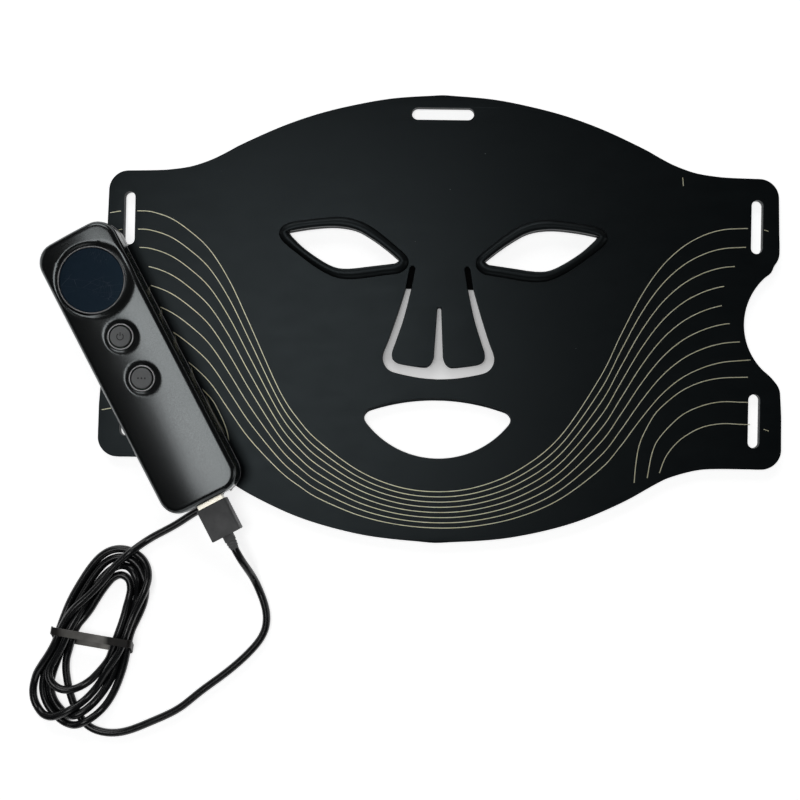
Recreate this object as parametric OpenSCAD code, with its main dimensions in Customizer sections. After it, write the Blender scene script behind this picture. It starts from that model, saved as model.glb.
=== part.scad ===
// Flexible LED face mask with its wired hand controller, lying flat, front face up.
// Millimetres. Origin at the centre of the mask on its back face; +X to the wearer's
// left ear side, +Y to the forehead, +Z out of the front face.

/* [Mask panel] */
// Height of the upper and lower tabs' outer edge from the middle line
tab_half_height = 65; // [60:0.5:70]
// Thickness of the back layer, which carries the lamps
back_layer = 2.4; // [1.6:0.1:3]
// Thickness of the plain front layer
front_layer = 1.2; // [0.8:0.1:2]
// Height of the bead round each eye above the front face
rim_height = 2.6; // [1:0.1:4]
// Distance of each side's fold line from the middle
fold_x = 101; // [96:0.5:106]
// Gap between the panels at a fold line
fold_gap = 0.1; // [0.05:0.05:0.4]

/* [Strap slots] */
// Width of a side slot
slot_w = 5; // [4.2:0.1:6]
// Length of a side slot
slot_l = 24; // [16:0.5:30]
// Distance of a side slot's middle from the centre line
slot_x = 141.4; // [138:0.1:144]
// Distance between the two slots of one side
slot_pitch = 86.8; // [80:0.1:94]
// Length of the top slot
top_slot_l = 28; // [20:0.5:40]
// Width of the top slot
top_slot_w = 5.4; // [4.2:0.1:7]
// Height of the top slot's middle
top_slot_y = 92.4; // [88:0.1:94]

/* [Ear notch] */
// Radius of the round notch in each side
notch_r = 28.6; // [22:0.1:34]
// Distance of the notch circle's centre from the middle line
notch_x = 165; // [158:0.5:172]

/* [Lamps] */
// Diameter of each clear window in the back face
window_d = 5; // [3:0.1:6]
// Side of the square lamp chip
chip_side = 2.8; // [2:0.1:3.5]

/* [Controller] */
// Length of the controller
ctl_l = 132.8; // [110:0.1:150]
// Width of the controller
ctl_w = 38; // [30:0.1:46]
// Corner radius in plan
ctl_r = 9; // [5:0.5:15]
// Radius of the top shell's long edge
ctl_edge = 3.2; // [1:0.1:5]
// Height of its underside above the table
ctl_z0 = 4; // [3.7:0.1:8]
// Height of its top face above the table
ctl_z1 = 21; // [18:0.5:26]
// Turn of the controller on the mask
ctl_turn = 28.6; // [0:0.1:60]
// Display window diameter
display_d = 28.6; // [20:0.1:32]
// Button cap diameter
cap_d = 9.2; // [6:0.1:12]
// Button travel
cap_travel = 0.6; // [0.3:0.1:1]

/* [Cord] */
// Cord diameter
cord_d = 3.5; // [2.5:0.1:5]

/* [Hidden] */
eps = 0.02;
thick = back_layer + front_layer;
board_z = 1.6;
board_t = 0.7;
$fn = 64;

// ---- curve helpers ----
function lerp(a, b, t) = a + (b - a) * t;
function cr1(p0, p1, p2, p3, t) = 0.5 * (2 * p1 + (p2 - p0) * t + (2 * p0 - 5 * p1 + 4 * p2 - p3) * t * t
    + (3 * p1 - p0 - 3 * p2 + p3) * t * t * t);
// smooth open curve through the points, n pieces a span
function smooth(p, n) = let (m = len(p)) [for (i = [0:m - 2]) for (k = [0:n - 1])
    cr1(p[max(i - 1, 0)], p[i], p[i + 1], p[min(i + 2, m - 1)], k / n), p[m - 1]];
// smooth closed curve through the points
function ring(p, n) = let (m = len(p)) [for (i = [0:m - 1]) for (k = [0:n - 1])
    cr1(p[(i + m - 1) % m], p[i], p[(i + 1) % m], p[(i + 2) % m], k / n)];
function unit(v) = v / norm(v);
function arc(c, r, a0, a1, n) = [for (i = [0:n]) c + r * [cos(lerp(a0, a1, i / n)), sin(lerp(a0, a1, i / n))]];
// each corner of a closed polygon moved along its bisector; positive d moves it to the left of its path
function moved(p, d) = let (m = len(p)) [for (i = [0:m - 1])
    let (a = unit(p[i] - p[(i + m - 1) % m]), b = unit(p[(i + 1) % m] - p[i]), t = unit(a + b),
        s = max(0.5, a * t)) p[i] + [-t[1], t[0]] * d / s];

// ---- mask outline, right half from the top down ----
dome = [[0, 100.9], [21, 99.4], [38.2, 96.4], [55.7, 92], [73, 85.8], [90.4, 77.8], [97, 74.2], [104.3, 70.5],
    [113.5, 67.3], [122.8, 65.8], [130, tab_half_height + 0.3], [142, tab_half_height]];
jaw = [[145, -tab_half_height], [126, -tab_half_height - 0.1], [116, -66], [104.7, -69.3], [97.7, -72.8],
    [82, -81.8], [59.2, -91.5], [30.7, -98.3], [0, -100.9]];
notch_a = asin(23 / notch_r);
side = concat(arc([142, 56], 9, 88, 4, 8), [[151.4, 40]], arc([143, 32], 8.6, 0, -40, 6),
    [for (q = arc([notch_x, 0], notch_r, 180 - notch_a, 180 + notch_a, 14)) q],
    arc([144, -32], 9, 40, 0, 6), [[153.6, -42]], arc([144.8, -56], 9, -4, -86, 8));
right_half = concat(smooth(dome, 3), side, smooth(jaw, 3));
outline = concat(right_half, [for (i = [len(right_half) - 2:-1:1]) [-right_half[i][0], right_half[i][1]]]);

// ---- eye, on the wearer's right (negative X) ----
eye_shift = 0.9;
eye_in_top = [[-69.5, 37.9], [-60, 39.6], [-48.8, 40.5], [-39.2, 39.1], [-31.8, 35.2], [-25, 30.4], [-19.4, 25.8]];
eye_in_low = [[-21, 24.6], [-31.6, 23.2], [-42, 21.9], [-48.6, 22.6], [-55.8, 26.3], [-63.1, 31.4], [-68.6, 36.6]];
eye_in = concat(smooth(eye_in_top, 3), smooth(eye_in_low, 3));
eye_out = ring([[-74.1, 37], [-72.6, 40.6], [-68.5, 42.6], [-61.7, 43.7], [-53.3, 44.8], [-46.3, 45.3],
    [-40.1, 44.4], [-33.4, 41.8], [-26.5, 37], [-20.2, 31.9], [-15.8, 27.9], [-15, 24.9], [-16.2, 22.1],
    [-19.5, 20], [-26.3, 19], [-33.7, 17.8], [-40.7, 17], [-46.9, 17.4], [-52.6, 19.6], [-58.4, 23],
    [-65.2, 28], [-71.9, 33.3]], 2);

// ---- nose opening, flap and mouth ----
nose_side = [[15.2, 13.4], [18.6, 2], [22.6, -10], [25, -16.5], [24.6, -20.5], [22, -23.6], [17, -25.2],
    [8, -26.8], [0, -27.3]];
nose_half = smooth(nose_side, 3);
nose_cut = concat(nose_half, [for (i = [len(nose_half) - 2:-1:0]) [-nose_half[i][0], nose_half[i][1]]]);
flap_y = 13.3;
leaf = concat(smooth([[12.8, flap_y], [15.9, 0], [19.6, -11.5]], 3),
    smooth([[21, -16.4], [20.6, -18.6], [18.4, -20.4], [13.5, -21.4], [7, -22.2], [4.6, -21.8], [2.9, -20],
        [2, -17.5]], 2), [[0.85, 4.4]], arc([0, 4], 0.85, 20, 90, 3));
flap_shape = concat(leaf, [for (i = [len(leaf) - 2:-1:0]) [-leaf[i][0], leaf[i][1]]]);
mouth_right = concat(arc([0, -128], 92, 90, 70.8, 10), arc([28.96, -44.9], 4, 62, -30, 5),
    arc([0, -22.2], 40.8, -38.1, -90, 14));
mouth = concat(mouth_right, [for (i = [len(mouth_right) - 2:-1:1]) [-mouth_right[i][0], mouth_right[i][1]]]);

// ---- lamp boards and lamp places ----
board_forehead = [[-80, 54], [80, 54], [80, 66], [58, 82], [-58, 82], [-80, 66]];
board_cheek = [[94, 12], [34, 12], [33.5, -20], [42, -35], [70, -52], [94, -44]];
board_chin = [[-58, -68], [-50, -82], [-24, -90], [24, -90], [50, -82], [58, -68]];
board_wing = [[104, -50], [128, -50], [132, -44], [130, 0], [132, 44], [128, 50], [104, 50]];
board_nose = [[-13, 11], [-15.5, -17], [-5, -17], [-4, 7], [4, 7], [5, -17], [15.5, -17], [13, 11]];
bus_right = [[[78, 12.1], [84, 12.1], [84, 53.9], [78, 53.9]], [[58.1, -69], [66, -62], [66, -50.4], [59, -54]]];
bus_gland = [[-94, -67], [-88, -70], [-88, -46.4], [-94, -44.3]];

leds_forehead = concat([for (x = [-70:20:70]) [x, 60]], [for (x = [-50:20:50]) [x, 75]]);
leds_cheek = concat([for (x = [44, 60, 75, 88]) [x, 3]], [for (x = [44, 60, 75, 88]) [x, -14]],
    [for (x = [54, 71, 87]) [x, -32]]);
leds_chin = concat([for (x = [-45:15:45]) [x, -74]], [for (x = [-22.5:15:22.5]) [x, -84]]);
leds_wing = concat([for (y = [-40:16:40]) [112, y]], [for (y = [-32:16:32]) [125, y]]);
leds_nose = [[-8.5, 0], [8.5, 0], [-10, -12], [10, -12]];
function mirrored(l) = [for (q = l) [-q[0], q[1]]];

// ---- controller, in its own frame: +Y from the plug to the display ----
ctl_seam = 11;
wall = 1.8;
dis_y = 43.3;
pow_y = 15.1;
mode_y = -5.5;
usb_z = 11;
plug_out = 2;
ctl_end = -ctl_l / 2;

module at_controller() translate([-132.1, -24.9, 0]) rotate([0, 0, ctl_turn]) children();
module rr(w, l, r) {
    square([w - 2 * r, l], center = true);
    square([w, l - 2 * r], center = true);
    for (x = [-1, 1], y = [-1, 1]) translate([x * (w / 2 - r), y * (l / 2 - r)]) circle(r);
}
module slot2(l, w) {
    square([l - w, w], center = true);
    for (x = [-1, 1]) translate([x * (l - w) / 2, 0]) circle(w / 2);
}
module side_slots(s) for (y = [-1, 1]) translate([s * slot_x, y * slot_pitch / 2]) rotate(90) slot2(slot_l, slot_w);

module eyes2(d) translate([eye_shift, 0]) {
    polygon(moved(eye_in, d));
    mirror([1, 0]) polygon(moved(eye_in, d));
}
module centre2(eye_grow) {
    difference() {
        intersection() {
            polygon(outline);
            square([2 * fold_x - fold_gap, 260], center = true);
        }
        eyes2(eye_grow);
        polygon(nose_cut);
        polygon(mouth);
        translate([0, top_slot_y]) slot2(top_slot_l, top_slot_w);
    }
}
module wing2(s) {
    difference() {
        intersection() {
            polygon(outline);
            translate([s > 0 ? fold_x + fold_gap / 2 : -fold_x - fold_gap / 2 - 80, -130]) square([80, 260]);
        }
        side_slots(s);
    }
}
module windows(l) translate([0, 0, 0]) for (q = l) translate([q[0], q[1], 0]) cylinder(h = 0.9, d = window_d);
module window_bores(l) for (q = l) translate([q[0], q[1], -1]) cylinder(h = board_z + 1.1, d = window_d);
module chips(l) for (q = l) translate([q[0] - chip_side / 2, q[1] - chip_side / 2, board_z - 0.6])
    cube([chip_side, chip_side, 0.6]);
module board(p) translate([0, 0, board_z]) linear_extrude(board_t) polygon(p);
module pocket(p) translate([0, 0, board_z]) linear_extrude(back_layer) polygon(p);

// ---- mask nodes ----
module back_skin() color([0.07, 0.08, 0.085]) difference() {
    linear_extrude(back_layer) centre2(0);
    pocket(board_forehead);
    pocket(board_cheek);
    pocket([for (q = board_cheek) [-q[0], q[1]]]);
    pocket(board_chin);
    for (p = bus_right) {
        pocket(p);
        pocket(mirrored(p));
    }
    pocket(bus_gland);
    window_bores(leds_forehead);
    window_bores(leds_cheek);
    window_bores(mirrored(leds_cheek));
    window_bores(leds_chin);
    translate([-94.6, -74.6, 1.1]) rotate([0, 0, -29]) cube([8.2, 7, 3], center = true);
}
module blind_slots() for (s = [-1, 1])
    polygon([[s * 12.8, 13], [s * 15.2, 13], [s * 13.6, 22.4], [s * 12.9, 23.5], [s * 11.9, 23.6], [s * 11.1, 22.6]]);
module front_skin() color([0.08, 0.095, 0.1]) difference() {
    translate([0, 0, back_layer]) linear_extrude(front_layer) difference() {
        centre2(0.9);
        blind_slots();
    }
    translate([-94.6, -74.6, 1.1]) rotate([0, 0, -29]) cube([8.2, 7, 3], center = true);
}
module eye_rim(s) {
    steps = [[0, 0.05, 1.2], [1.2, 0.5, 0.7], [1.9, 1.2, rim_height - 1.9]];
    translate([0, 0, thick]) scale([1, 1, 1]) for (q = steps)
        translate([eye_shift, 0, q[0]]) linear_extrude(q[2]) mirror([s > 0 ? 1 : 0, 0]) difference() {
            polygon(moved(eye_out, -q[1]));
            polygon(moved(eye_in, 0.15 + 0.3 * q[1]));
        }
}
module eye_rim_left() color([0.06, 0.07, 0.075]) eye_rim(-1);
module eye_rim_right() color([0.06, 0.07, 0.075]) eye_rim(1);
module led_board_forehead() color([0.55, 0.35, 0.12]) board(board_forehead);
module led_board_left_cheek() color([0.55, 0.35, 0.12]) mirror([1, 0, 0]) board(board_cheek);
module led_board_right_cheek() color([0.55, 0.35, 0.12]) board(board_cheek);
module led_board_chin() color([0.55, 0.35, 0.12]) board(board_chin);
module led_chips_upper() color([0.95, 0.9, 0.7]) chips(leds_forehead);
module led_chips_cheeks() color([0.95, 0.9, 0.7]) {
    chips(leds_cheek);
    chips(mirrored(leds_cheek));
}
module led_chips_chin() color([0.95, 0.9, 0.7]) chips(leds_chin);
module led_windows_upper() color([0.8, 0.8, 0.8, 0.5]) windows(leds_forehead);
module led_windows_cheeks() color([0.8, 0.8, 0.8, 0.5]) {
    windows(leds_cheek);
    windows(mirrored(leds_cheek));
}
module led_windows_chin() color([0.8, 0.8, 0.8, 0.5]) windows(leds_chin);
module bus_ribbon() color([0.5, 0.3, 0.1]) translate([0, 0, board_z]) linear_extrude(board_t) {
    for (p = bus_right) {
        polygon(moved(p, 0.05));
        mirror([1, 0]) polygon(moved(p, 0.05));
    }
    polygon(moved(bus_gland, 0.05));
}
module cable_gland() color([0.05, 0.055, 0.06]) translate([-94.6, -74.6, 0]) rotate([0, 0, -29]) {
    translate([-4, -3.4, eps]) cube([8, 6.8, 2.5]);
    translate([0, -3, 1.98]) rotate([90, 0, 0]) cylinder(h = 4.6, d = 3.9);
}

// ---- side panels ----
module back_wing(s) difference() {
    linear_extrude(back_layer) wing2(s);
    mirror([s > 0 ? 0 : 1, 0, 0]) {
        pocket(board_wing);
        window_bores(leds_wing);
    }
}
module back_skin_left_wing() color([0.07, 0.08, 0.085]) back_wing(-1);
module back_skin_right_wing() color([0.07, 0.08, 0.085]) back_wing(1);
module front_skin_left_wing() color([0.08, 0.095, 0.1]) translate([0, 0, back_layer]) linear_extrude(front_layer) wing2(-1);
module front_skin_right_wing() color([0.08, 0.095, 0.1]) translate([0, 0, back_layer]) linear_extrude(front_layer) wing2(1);
module led_board_left_wing() color([0.55, 0.35, 0.12]) mirror([1, 0, 0]) board(board_wing);
module led_board_right_wing() color([0.55, 0.35, 0.12]) board(board_wing);
module led_chips_left_wing() color([0.95, 0.9, 0.7]) chips(mirrored(leds_wing));
module led_chips_right_wing() color([0.95, 0.9, 0.7]) chips(leds_wing);
module led_windows_left_wing() color([0.8, 0.8, 0.8, 0.5]) windows(mirrored(leds_wing));
module led_windows_right_wing() color([0.8, 0.8, 0.8, 0.5]) windows(leds_wing);

// ---- nose flap ----
module nose_flap_front() color([0.08, 0.095, 0.1]) translate([0, 0, back_layer]) linear_extrude(front_layer) polygon(flap_shape);
module nose_flap_back() color([0.07, 0.08, 0.085]) difference() {
    linear_extrude(back_layer) polygon(flap_shape);
    pocket(board_nose);
    window_bores(leds_nose);
}
module led_board_nose() color([0.55, 0.35, 0.12]) board(board_nose);
module led_chips_nose() color([0.95, 0.9, 0.7]) chips(leds_nose);
module led_windows_nose() color([0.8, 0.8, 0.8, 0.5]) windows(leds_nose);

// ---- controller shells ----
module rounded_top(w, l, r, e, z0, z1) hull() for (x = [-1, 1], y = [-1, 1]) translate([x * (w / 2 - r), y * (l / 2 - r), 0]) {
    translate([0, 0, z0]) cylinder(h = z1 - z0 - e, r = r, $fn = 40);
    translate([0, 0, z1 - e]) rotate_extrude($fn = 40) translate([r - e, 0]) circle(e, $fn = 28);
}
module usb_gap() translate([0, ctl_end + 8, usb_z]) cube([13.3, 20, 5.8], center = true);
module dish(d, depth) {
    big = (d * d / 4 + depth * depth) / (2 * depth);
    translate([0, 0, ctl_z1 - depth + big]) sphere(big, $fn = 128);
}
module controller_top_shell() color([0.2, 0.205, 0.21]) at_controller() difference() {
    rounded_top(ctl_w, ctl_l, ctl_r, ctl_edge, ctl_seam + 0.2, ctl_z1);
    translate([0, 0, ctl_seam - 1]) linear_extrude(ctl_z1 - 2.6 - ctl_seam + 1)
        rr(ctl_w - 2 * wall - 1, ctl_l - 2 * wall - 1, ctl_r - wall);
    translate([0, dis_y, 0]) {
        dish(36, 1.3);
        translate([0, 0, 10]) cylinder(h = 20, d = display_d + 1.6);
    }
    for (y = [pow_y, mode_y]) translate([0, y, 0]) {
        dish(16, 0.8);
        translate([0, 0, 10]) cylinder(h = 20, d = 12);
    }
    usb_gap();
    translate([0, -ctl_end - 3, 11]) cube([10.2, 12, 4.4], center = true);
}
module controller_bottom_shell() color([0.02, 0.02, 0.022]) at_controller() difference() {
    union() {
        translate([0, 0, ctl_z0 + 1.2]) linear_extrude(ctl_seam - 0.2 - ctl_z0 - 1.2) rr(ctl_w, ctl_l, ctl_r);
        translate([0, 0, ctl_z0]) linear_extrude(1.3) rr(ctl_w - 2, ctl_l - 2, ctl_r - 1);
    }
    translate([0, 0, ctl_z0 + wall]) linear_extrude(20) rr(ctl_w - 2 * wall - 1, ctl_l - 2 * wall - 1, ctl_r - wall);
    for (x = [-1, 1], y = [-1, 1]) translate([x * 12, y * 54, ctl_z0 - 1]) {
        cylinder(h = 10, d = 2);
        cylinder(h = 1.9, d = 4);
    }
    usb_gap();
    translate([0, -ctl_end - 3, 11]) cube([10.2, 12, 4.4], center = true);
}
module seam_trim() color([0.6, 0.6, 0.6]) at_controller() translate([0, 0, ctl_seam - 0.2]) difference() {
    linear_extrude(0.4) difference() {
        rr(ctl_w + 0.2, ctl_l + 0.2, ctl_r + 0.1);
        rr(ctl_w - 2 * wall - 1, ctl_l - 2 * wall - 1, ctl_r - wall);
    }
    translate([0, ctl_end + 8, 0]) cube([13.3, 20, 5.8], center = true);
    translate([0, -ctl_end - 3, 0]) cube([10.2, 12, 4.4], center = true);
}
module display_bezel() color([0.8, 0.8, 0.8]) at_controller() translate([0, dis_y, 18.6]) difference() {
    cylinder(h = 1.5, d = display_d + 1.6);
    translate([0, 0, -1]) cylinder(h = 4, d = display_d);
}
module display_window() color([0.05, 0.08, 0.15]) at_controller() translate([0, dis_y, 18.9]) cylinder(h = 0.9, d = display_d);
module display_module() color([0.1, 0.12, 0.12]) at_controller() translate([0, dis_y, 15.9])
    linear_extrude(2.4) rr(24, 26, 2);
module controller_board() color([0.05, 0.3, 0.12]) at_controller() translate([0, 0, 13.9]) linear_extrude(1.2) difference() {
    translate([0, -0.5]) rr(31, 116, 3);
    translate([0, -62]) square([16, 22], center = true);
}
module battery() color([0.35, 0.4, 0.45]) at_controller() translate([0, 14, 9.8]) rotate([0, 0, 0]) {
    translate([0, 0, -3.4]) linear_extrude(6.6) rr(27, 62, 2.5);
}
module usb_socket_shell() color([0.75, 0.75, 0.76]) at_controller() translate([0, ctl_end + 0.4, usb_z]) rotate([-90, 0, 0])
    difference() {
        linear_extrude(14.2) square([13.1, 5.6], center = true);
        translate([0, 0, -1]) linear_extrude(14.7) square([12.5, 5], center = true);
    }
module usb_socket_tongue() color([0.9, 0.9, 0.88]) at_controller() translate([0, ctl_end + 4.6, usb_z + 0.15])
    translate([-5.4, 0, 0]) cube([10.8, 9.4, 1.6]);
module usb_socket_contacts() color([0.85, 0.7, 0.3]) at_controller() for (x = [-3.5, -1.05, 1.05, 3.5])
    translate([x - 0.5, ctl_end + 5, usb_z + 0.05]) cube([1, 8.6, 0.1]);
module charge_port() color([0.75, 0.75, 0.76]) at_controller() translate([0, -ctl_end - 0.5, 11]) rotate([90, 0, 0]) difference() {
    linear_extrude(7.4) rr(9, 3.2, 1.55);
    translate([0, 0, -1]) linear_extrude(7.4) rr(8.4, 2.6, 1.25);
}
module tact_switches() color([0.1, 0.1, 0.1]) at_controller() for (y = [pow_y, mode_y]) translate([0, y, 15.1]) {
    translate([-3, -3, 0]) cube([6, 6, 1.2]);
    cylinder(h = 1.45, d = 3);
}
module button_rings() color([0.82, 0.82, 0.82]) at_controller() for (y = [pow_y, mode_y]) translate([0, y, 18.4]) difference() {
    cylinder(h = 2, d = 12);
    translate([0, 0, -1]) cylinder(h = 4, d = 10.6);
}
module shell_screws() color([0.6, 0.6, 0.6]) at_controller() for (x = [-1, 1], y = [-1, 1])
    translate([x * 12, y * 54, ctl_z0 + 0.2]) {
        cylinder(h = 0.7, d = 3.8);
        cylinder(h = 5, d = 1.98);
    }
module cap() {
    difference() {
        cylinder(h = 2.6, d = cap_d);
        translate([0, 0, 2.6 - 0.25 + 40]) sphere(40, $fn = 128);
    }
    translate([0, 0, -1.1]) cylinder(h = 1.2, d = 3.4);
}
module power_button() color([0.4, 0.41, 0.42]) at_controller() translate([0, pow_y, 18.3]) cap();
module mode_button() color([0.4, 0.41, 0.42]) at_controller() translate([0, mode_y, 18.3]) cap();

// ---- plug, in the controller's frame; it stays with the cord ----
plug_face = ctl_end - plug_out;
module plug_shell() color([0.85, 0.83, 0.76]) at_controller() translate([0, plug_face - 1, usb_z]) rotate([-90, 0, 0])
    difference() {
        linear_extrude(12.4) square([12, 4.5], center = true);
        translate([0, 0, -1]) linear_extrude(20) square([11.3, 3.8], center = true);
        for (x = [-2.6, 2.6]) translate([x, 0, 9]) cube([2.2, 20, 2.2], center = true);
    }
module plug_tongue() color([0.9, 0.9, 0.88]) at_controller() translate([-5.6, plug_face, usb_z - 1.88]) cube([11.2, 11.2, 1.7]);
module plug_contacts() color([0.85, 0.7, 0.3]) at_controller() for (x = [-3.5, -1.05, 1.05, 3.5])
    translate([x - 0.5, plug_face + 1, usb_z - 0.18]) cube([1, 9.6, 0.1]);
module plug_body() color([0.22, 0.225, 0.225]) at_controller() difference() {
    hull() for (x = [-1, 1], z = [-1, 1]) translate([x * 5.8, plug_face, usb_z + z * 2.55]) rotate([90, 0, 0])
        cylinder(h = 15.5, r = 1.25, $fn = 24);
    translate([0, plug_face, usb_z]) cube([12, 2, 4.5], center = true);
}
module plug_strain_relief() color([0.12, 0.12, 0.12]) at_controller() translate([0, plug_face - 15.5, usb_z]) rotate([90, 0, 0]) {
    cylinder(h = 3, d = 5.2);
    translate([0, 0, 2.9]) cylinder(h = 3.4, d1 = 4.9, d2 = 4);
}

// ---- cord as a swept tube; the coil is a stack of closed turns ----
module sweep(p, d, n) {
    m = len(p);
    tan = [for (i = [0:m - 1]) unit(p[min(i + 1, m - 1)] - p[max(i - 1, 0)])];
    sid = [for (t = tan) unit(cross([0, 0, 1], t))];
    rings = [for (i = [0:m - 1]) for (k = [0:n - 1]) let (a = 360 * k / n + 180 / n, up = cross(tan[i], sid[i]))
        p[i] + d / 2 * (cos(a) * sid[i] + sin(a) * up)];
    walls = [for (i = [0:m - 2]) for (k = [0:n - 1]) for (t = [0, 1]) let (a = i * n + k, b = i * n + (k + 1) % n)
        t == 0 ? [a, b, b + n] : [a, b + n, a + n]];
    caps = concat([for (k = [1:n - 2]) [0, k + 1, k]], [for (k = [1:n - 2]) [(m - 1) * n, (m - 1) * n + k, (m - 1) * n + k + 1]]);
    polyhedron(rings, concat(walls, caps), convexity = 8);
}
c0 = cord_d / 2 + eps;
lead_path = smooth([[-98.35, -81.4, 1.98], [-101.4, -85.4, c0 + 0.05], [-109.6, -89.6, c0], [-118, -92.6, c0], [-126, -97, c0],
    [-133, -102, 3.5], [-139, -106.8, 7]], 3);
tail_path = smooth([[-88.85, -104.3, usb_z], [-86.4, -109, 10.3], [-83, -118.6, 6.4], [-77.6, -127.4, 2.9],
    [-75.4, -137, c0], [-77, -146.4, c0], [-85.4, -155.6, c0], [-97.4, -165.6, c0], [-111, -175, c0],
    [-123.6, -182.4, c0], [-137, -188.9, c0], [-146, -190.4, c0], [-151.6, -188.4, c0]], 3);
module cord_lead() color([0.03, 0.03, 0.03]) sweep(lead_path, cord_d, 8);
module cord_tail() color([0.03, 0.03, 0.03]) sweep(tail_path, cord_d, 8);
module turn(w, l, z) translate([0, 0, z]) {
    for (s = [-1, 1]) translate([0, s * (l - w) / 2, 0]) rotate([0, 0, s > 0 ? 0 : 180])
        rotate_extrude(angle = 180, $fn = 64) translate([(w - cord_d) / 2, 0]) circle(cord_d / 2, $fn = 24);
    for (x = [-1, 1]) translate([x * (w - cord_d) / 2, 0, 0]) rotate([90, 0, 0])
        cylinder(h = l - w, d = cord_d, center = true, $fn = 24);
}
module cord_hank() color([0.03, 0.03, 0.03]) translate([-154.6, -147.4, 0]) rotate([0, 0, -21 + 0]) {
    turn(38.8, 84, c0);
    turn(30.6, 75, c0);
    turn(37.2, 81, c0 + cord_d + 0.1);
    turn(29, 70, c0 + cord_d + 0.1);
}
module cord_tie() color([0.14, 0.13, 0.125]) translate([-154.6, -147.4, 0]) rotate([0, 0, -12]) {
    difference() {
        translate([-21.5, -1.7, 0.02]) cube([43, 3.4, 9.6]);
        translate([-20.5, -3, -1]) cube([41, 6, 10]);
    }
    translate([21.4, -1.7, 0.02]) rotate([0, 0, -8]) cube([4.4, 3.2, 1]);
}

front_skin();
back_skin();
eye_rim_left();
eye_rim_right();
led_board_forehead();
led_board_left_cheek();
led_board_right_cheek();
led_board_chin();
led_chips_upper();
led_chips_cheeks();
led_chips_chin();
led_windows_upper();
led_windows_cheeks();
led_windows_chin();
bus_ribbon();
cable_gland();
front_skin_left_wing();
back_skin_left_wing();
led_board_left_wing();
led_chips_left_wing();
led_windows_left_wing();
front_skin_right_wing();
back_skin_right_wing();
led_board_right_wing();
led_chips_right_wing();
led_windows_right_wing();
nose_flap_front();
nose_flap_back();
led_board_nose();
led_chips_nose();
led_windows_nose();
controller_top_shell();
controller_bottom_shell();
seam_trim();
display_bezel();
display_window();
display_module();
controller_board();
battery();
usb_socket_shell();
usb_socket_tongue();
usb_socket_contacts();
charge_port();
tact_switches();
button_rings();
shell_screws();
power_button();
mode_button();
plug_shell();
plug_tongue();
plug_contacts();
plug_body();
plug_strain_relief();
cord_lead();
cord_tail();
cord_hank();
cord_tie();
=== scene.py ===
import math

import bmesh
import bpy
import numpy as np
from mathutils import Matrix, Vector


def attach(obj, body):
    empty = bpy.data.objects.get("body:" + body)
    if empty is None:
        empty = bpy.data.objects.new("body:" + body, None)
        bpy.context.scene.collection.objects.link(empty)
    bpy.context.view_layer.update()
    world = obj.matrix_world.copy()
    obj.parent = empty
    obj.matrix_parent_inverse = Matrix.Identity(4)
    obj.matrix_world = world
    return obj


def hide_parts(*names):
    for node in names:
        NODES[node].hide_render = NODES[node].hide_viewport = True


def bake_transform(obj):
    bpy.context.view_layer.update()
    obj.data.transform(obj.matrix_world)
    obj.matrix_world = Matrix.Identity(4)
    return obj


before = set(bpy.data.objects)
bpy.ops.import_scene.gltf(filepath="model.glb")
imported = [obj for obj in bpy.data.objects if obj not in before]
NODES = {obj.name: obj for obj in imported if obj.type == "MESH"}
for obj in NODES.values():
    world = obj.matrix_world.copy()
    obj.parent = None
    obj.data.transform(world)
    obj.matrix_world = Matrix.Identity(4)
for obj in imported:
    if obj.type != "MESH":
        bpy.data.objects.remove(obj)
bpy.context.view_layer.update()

MM = 0.001
BACK_TOP, FACE_Z = 2.4, 3.6  # top of the back layer and of the front layer
SEAM_X, FLAP_Y = 101, 13.35  # hinge lines of the side panels and of the nose flap
SIDES = {"left": -1, "right": 1}


# ---------------------------------------------------------------- camera
# The picture looks almost straight down, turned a little against the mask.
PICTURE_TURN = math.radians(1.1)
PIC_RIGHT = Vector((math.cos(PICTURE_TURN), math.sin(PICTURE_TURN), 0))
PIC_UP = Vector((-math.sin(PICTURE_TURN), math.cos(PICTURE_TURN), 0))


def at(x, y, z):
    """Point given in the picture's own axes, in mm, as a frame point in metres."""
    return (PIC_RIGHT * x + PIC_UP * y + Vector((0, 0, z))) * MM


def look(obj, eye, target):
    back = (eye - target).normalized()
    side = PIC_RIGHT - back * PIC_RIGHT.dot(back)
    side.normalize()
    obj.matrix_world = Matrix.Translation(eye) @ Matrix((side, back.cross(side), back)).transposed().to_4x4()


cam = bpy.data.objects.new("camera", bpy.data.cameras.new("camera"))
bpy.context.scene.collection.objects.link(cam)
bpy.context.scene.camera = cam
look(cam, at(12, -41, 523.6), at(-2.6, -36.6, FACE_Z))
cam.data.sensor_width = 36
cam.data.lens = 52.05
cam.data.shift_x = -0.0415
cam.data.clip_start, cam.data.clip_end = 0.01, 20


# ---------------------------------------------------------------- mesh helpers
def new_object(name, mesh):
    obj = bpy.data.objects.new(name, mesh)
    bpy.context.scene.collection.objects.link(obj)
    return obj


def from_bm(name, bm):
    mesh = bpy.data.meshes.new(name)
    bm.normal_update()
    bm.to_mesh(mesh)
    bm.free()
    return new_object(name, mesh)


def apply_all(obj):
    """The evaluated mesh takes the place of the object's own."""
    deps = bpy.context.evaluated_depsgraph_get()
    deps.update()
    mesh = bpy.data.meshes.new_from_object(obj.evaluated_get(deps))
    mesh.name = obj.name
    if obj.type == "MESH":
        obj.modifiers.clear()
        obj.data = mesh
        return obj
    name = obj.name
    bpy.data.objects.remove(obj)
    return new_object(name, mesh)


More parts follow.
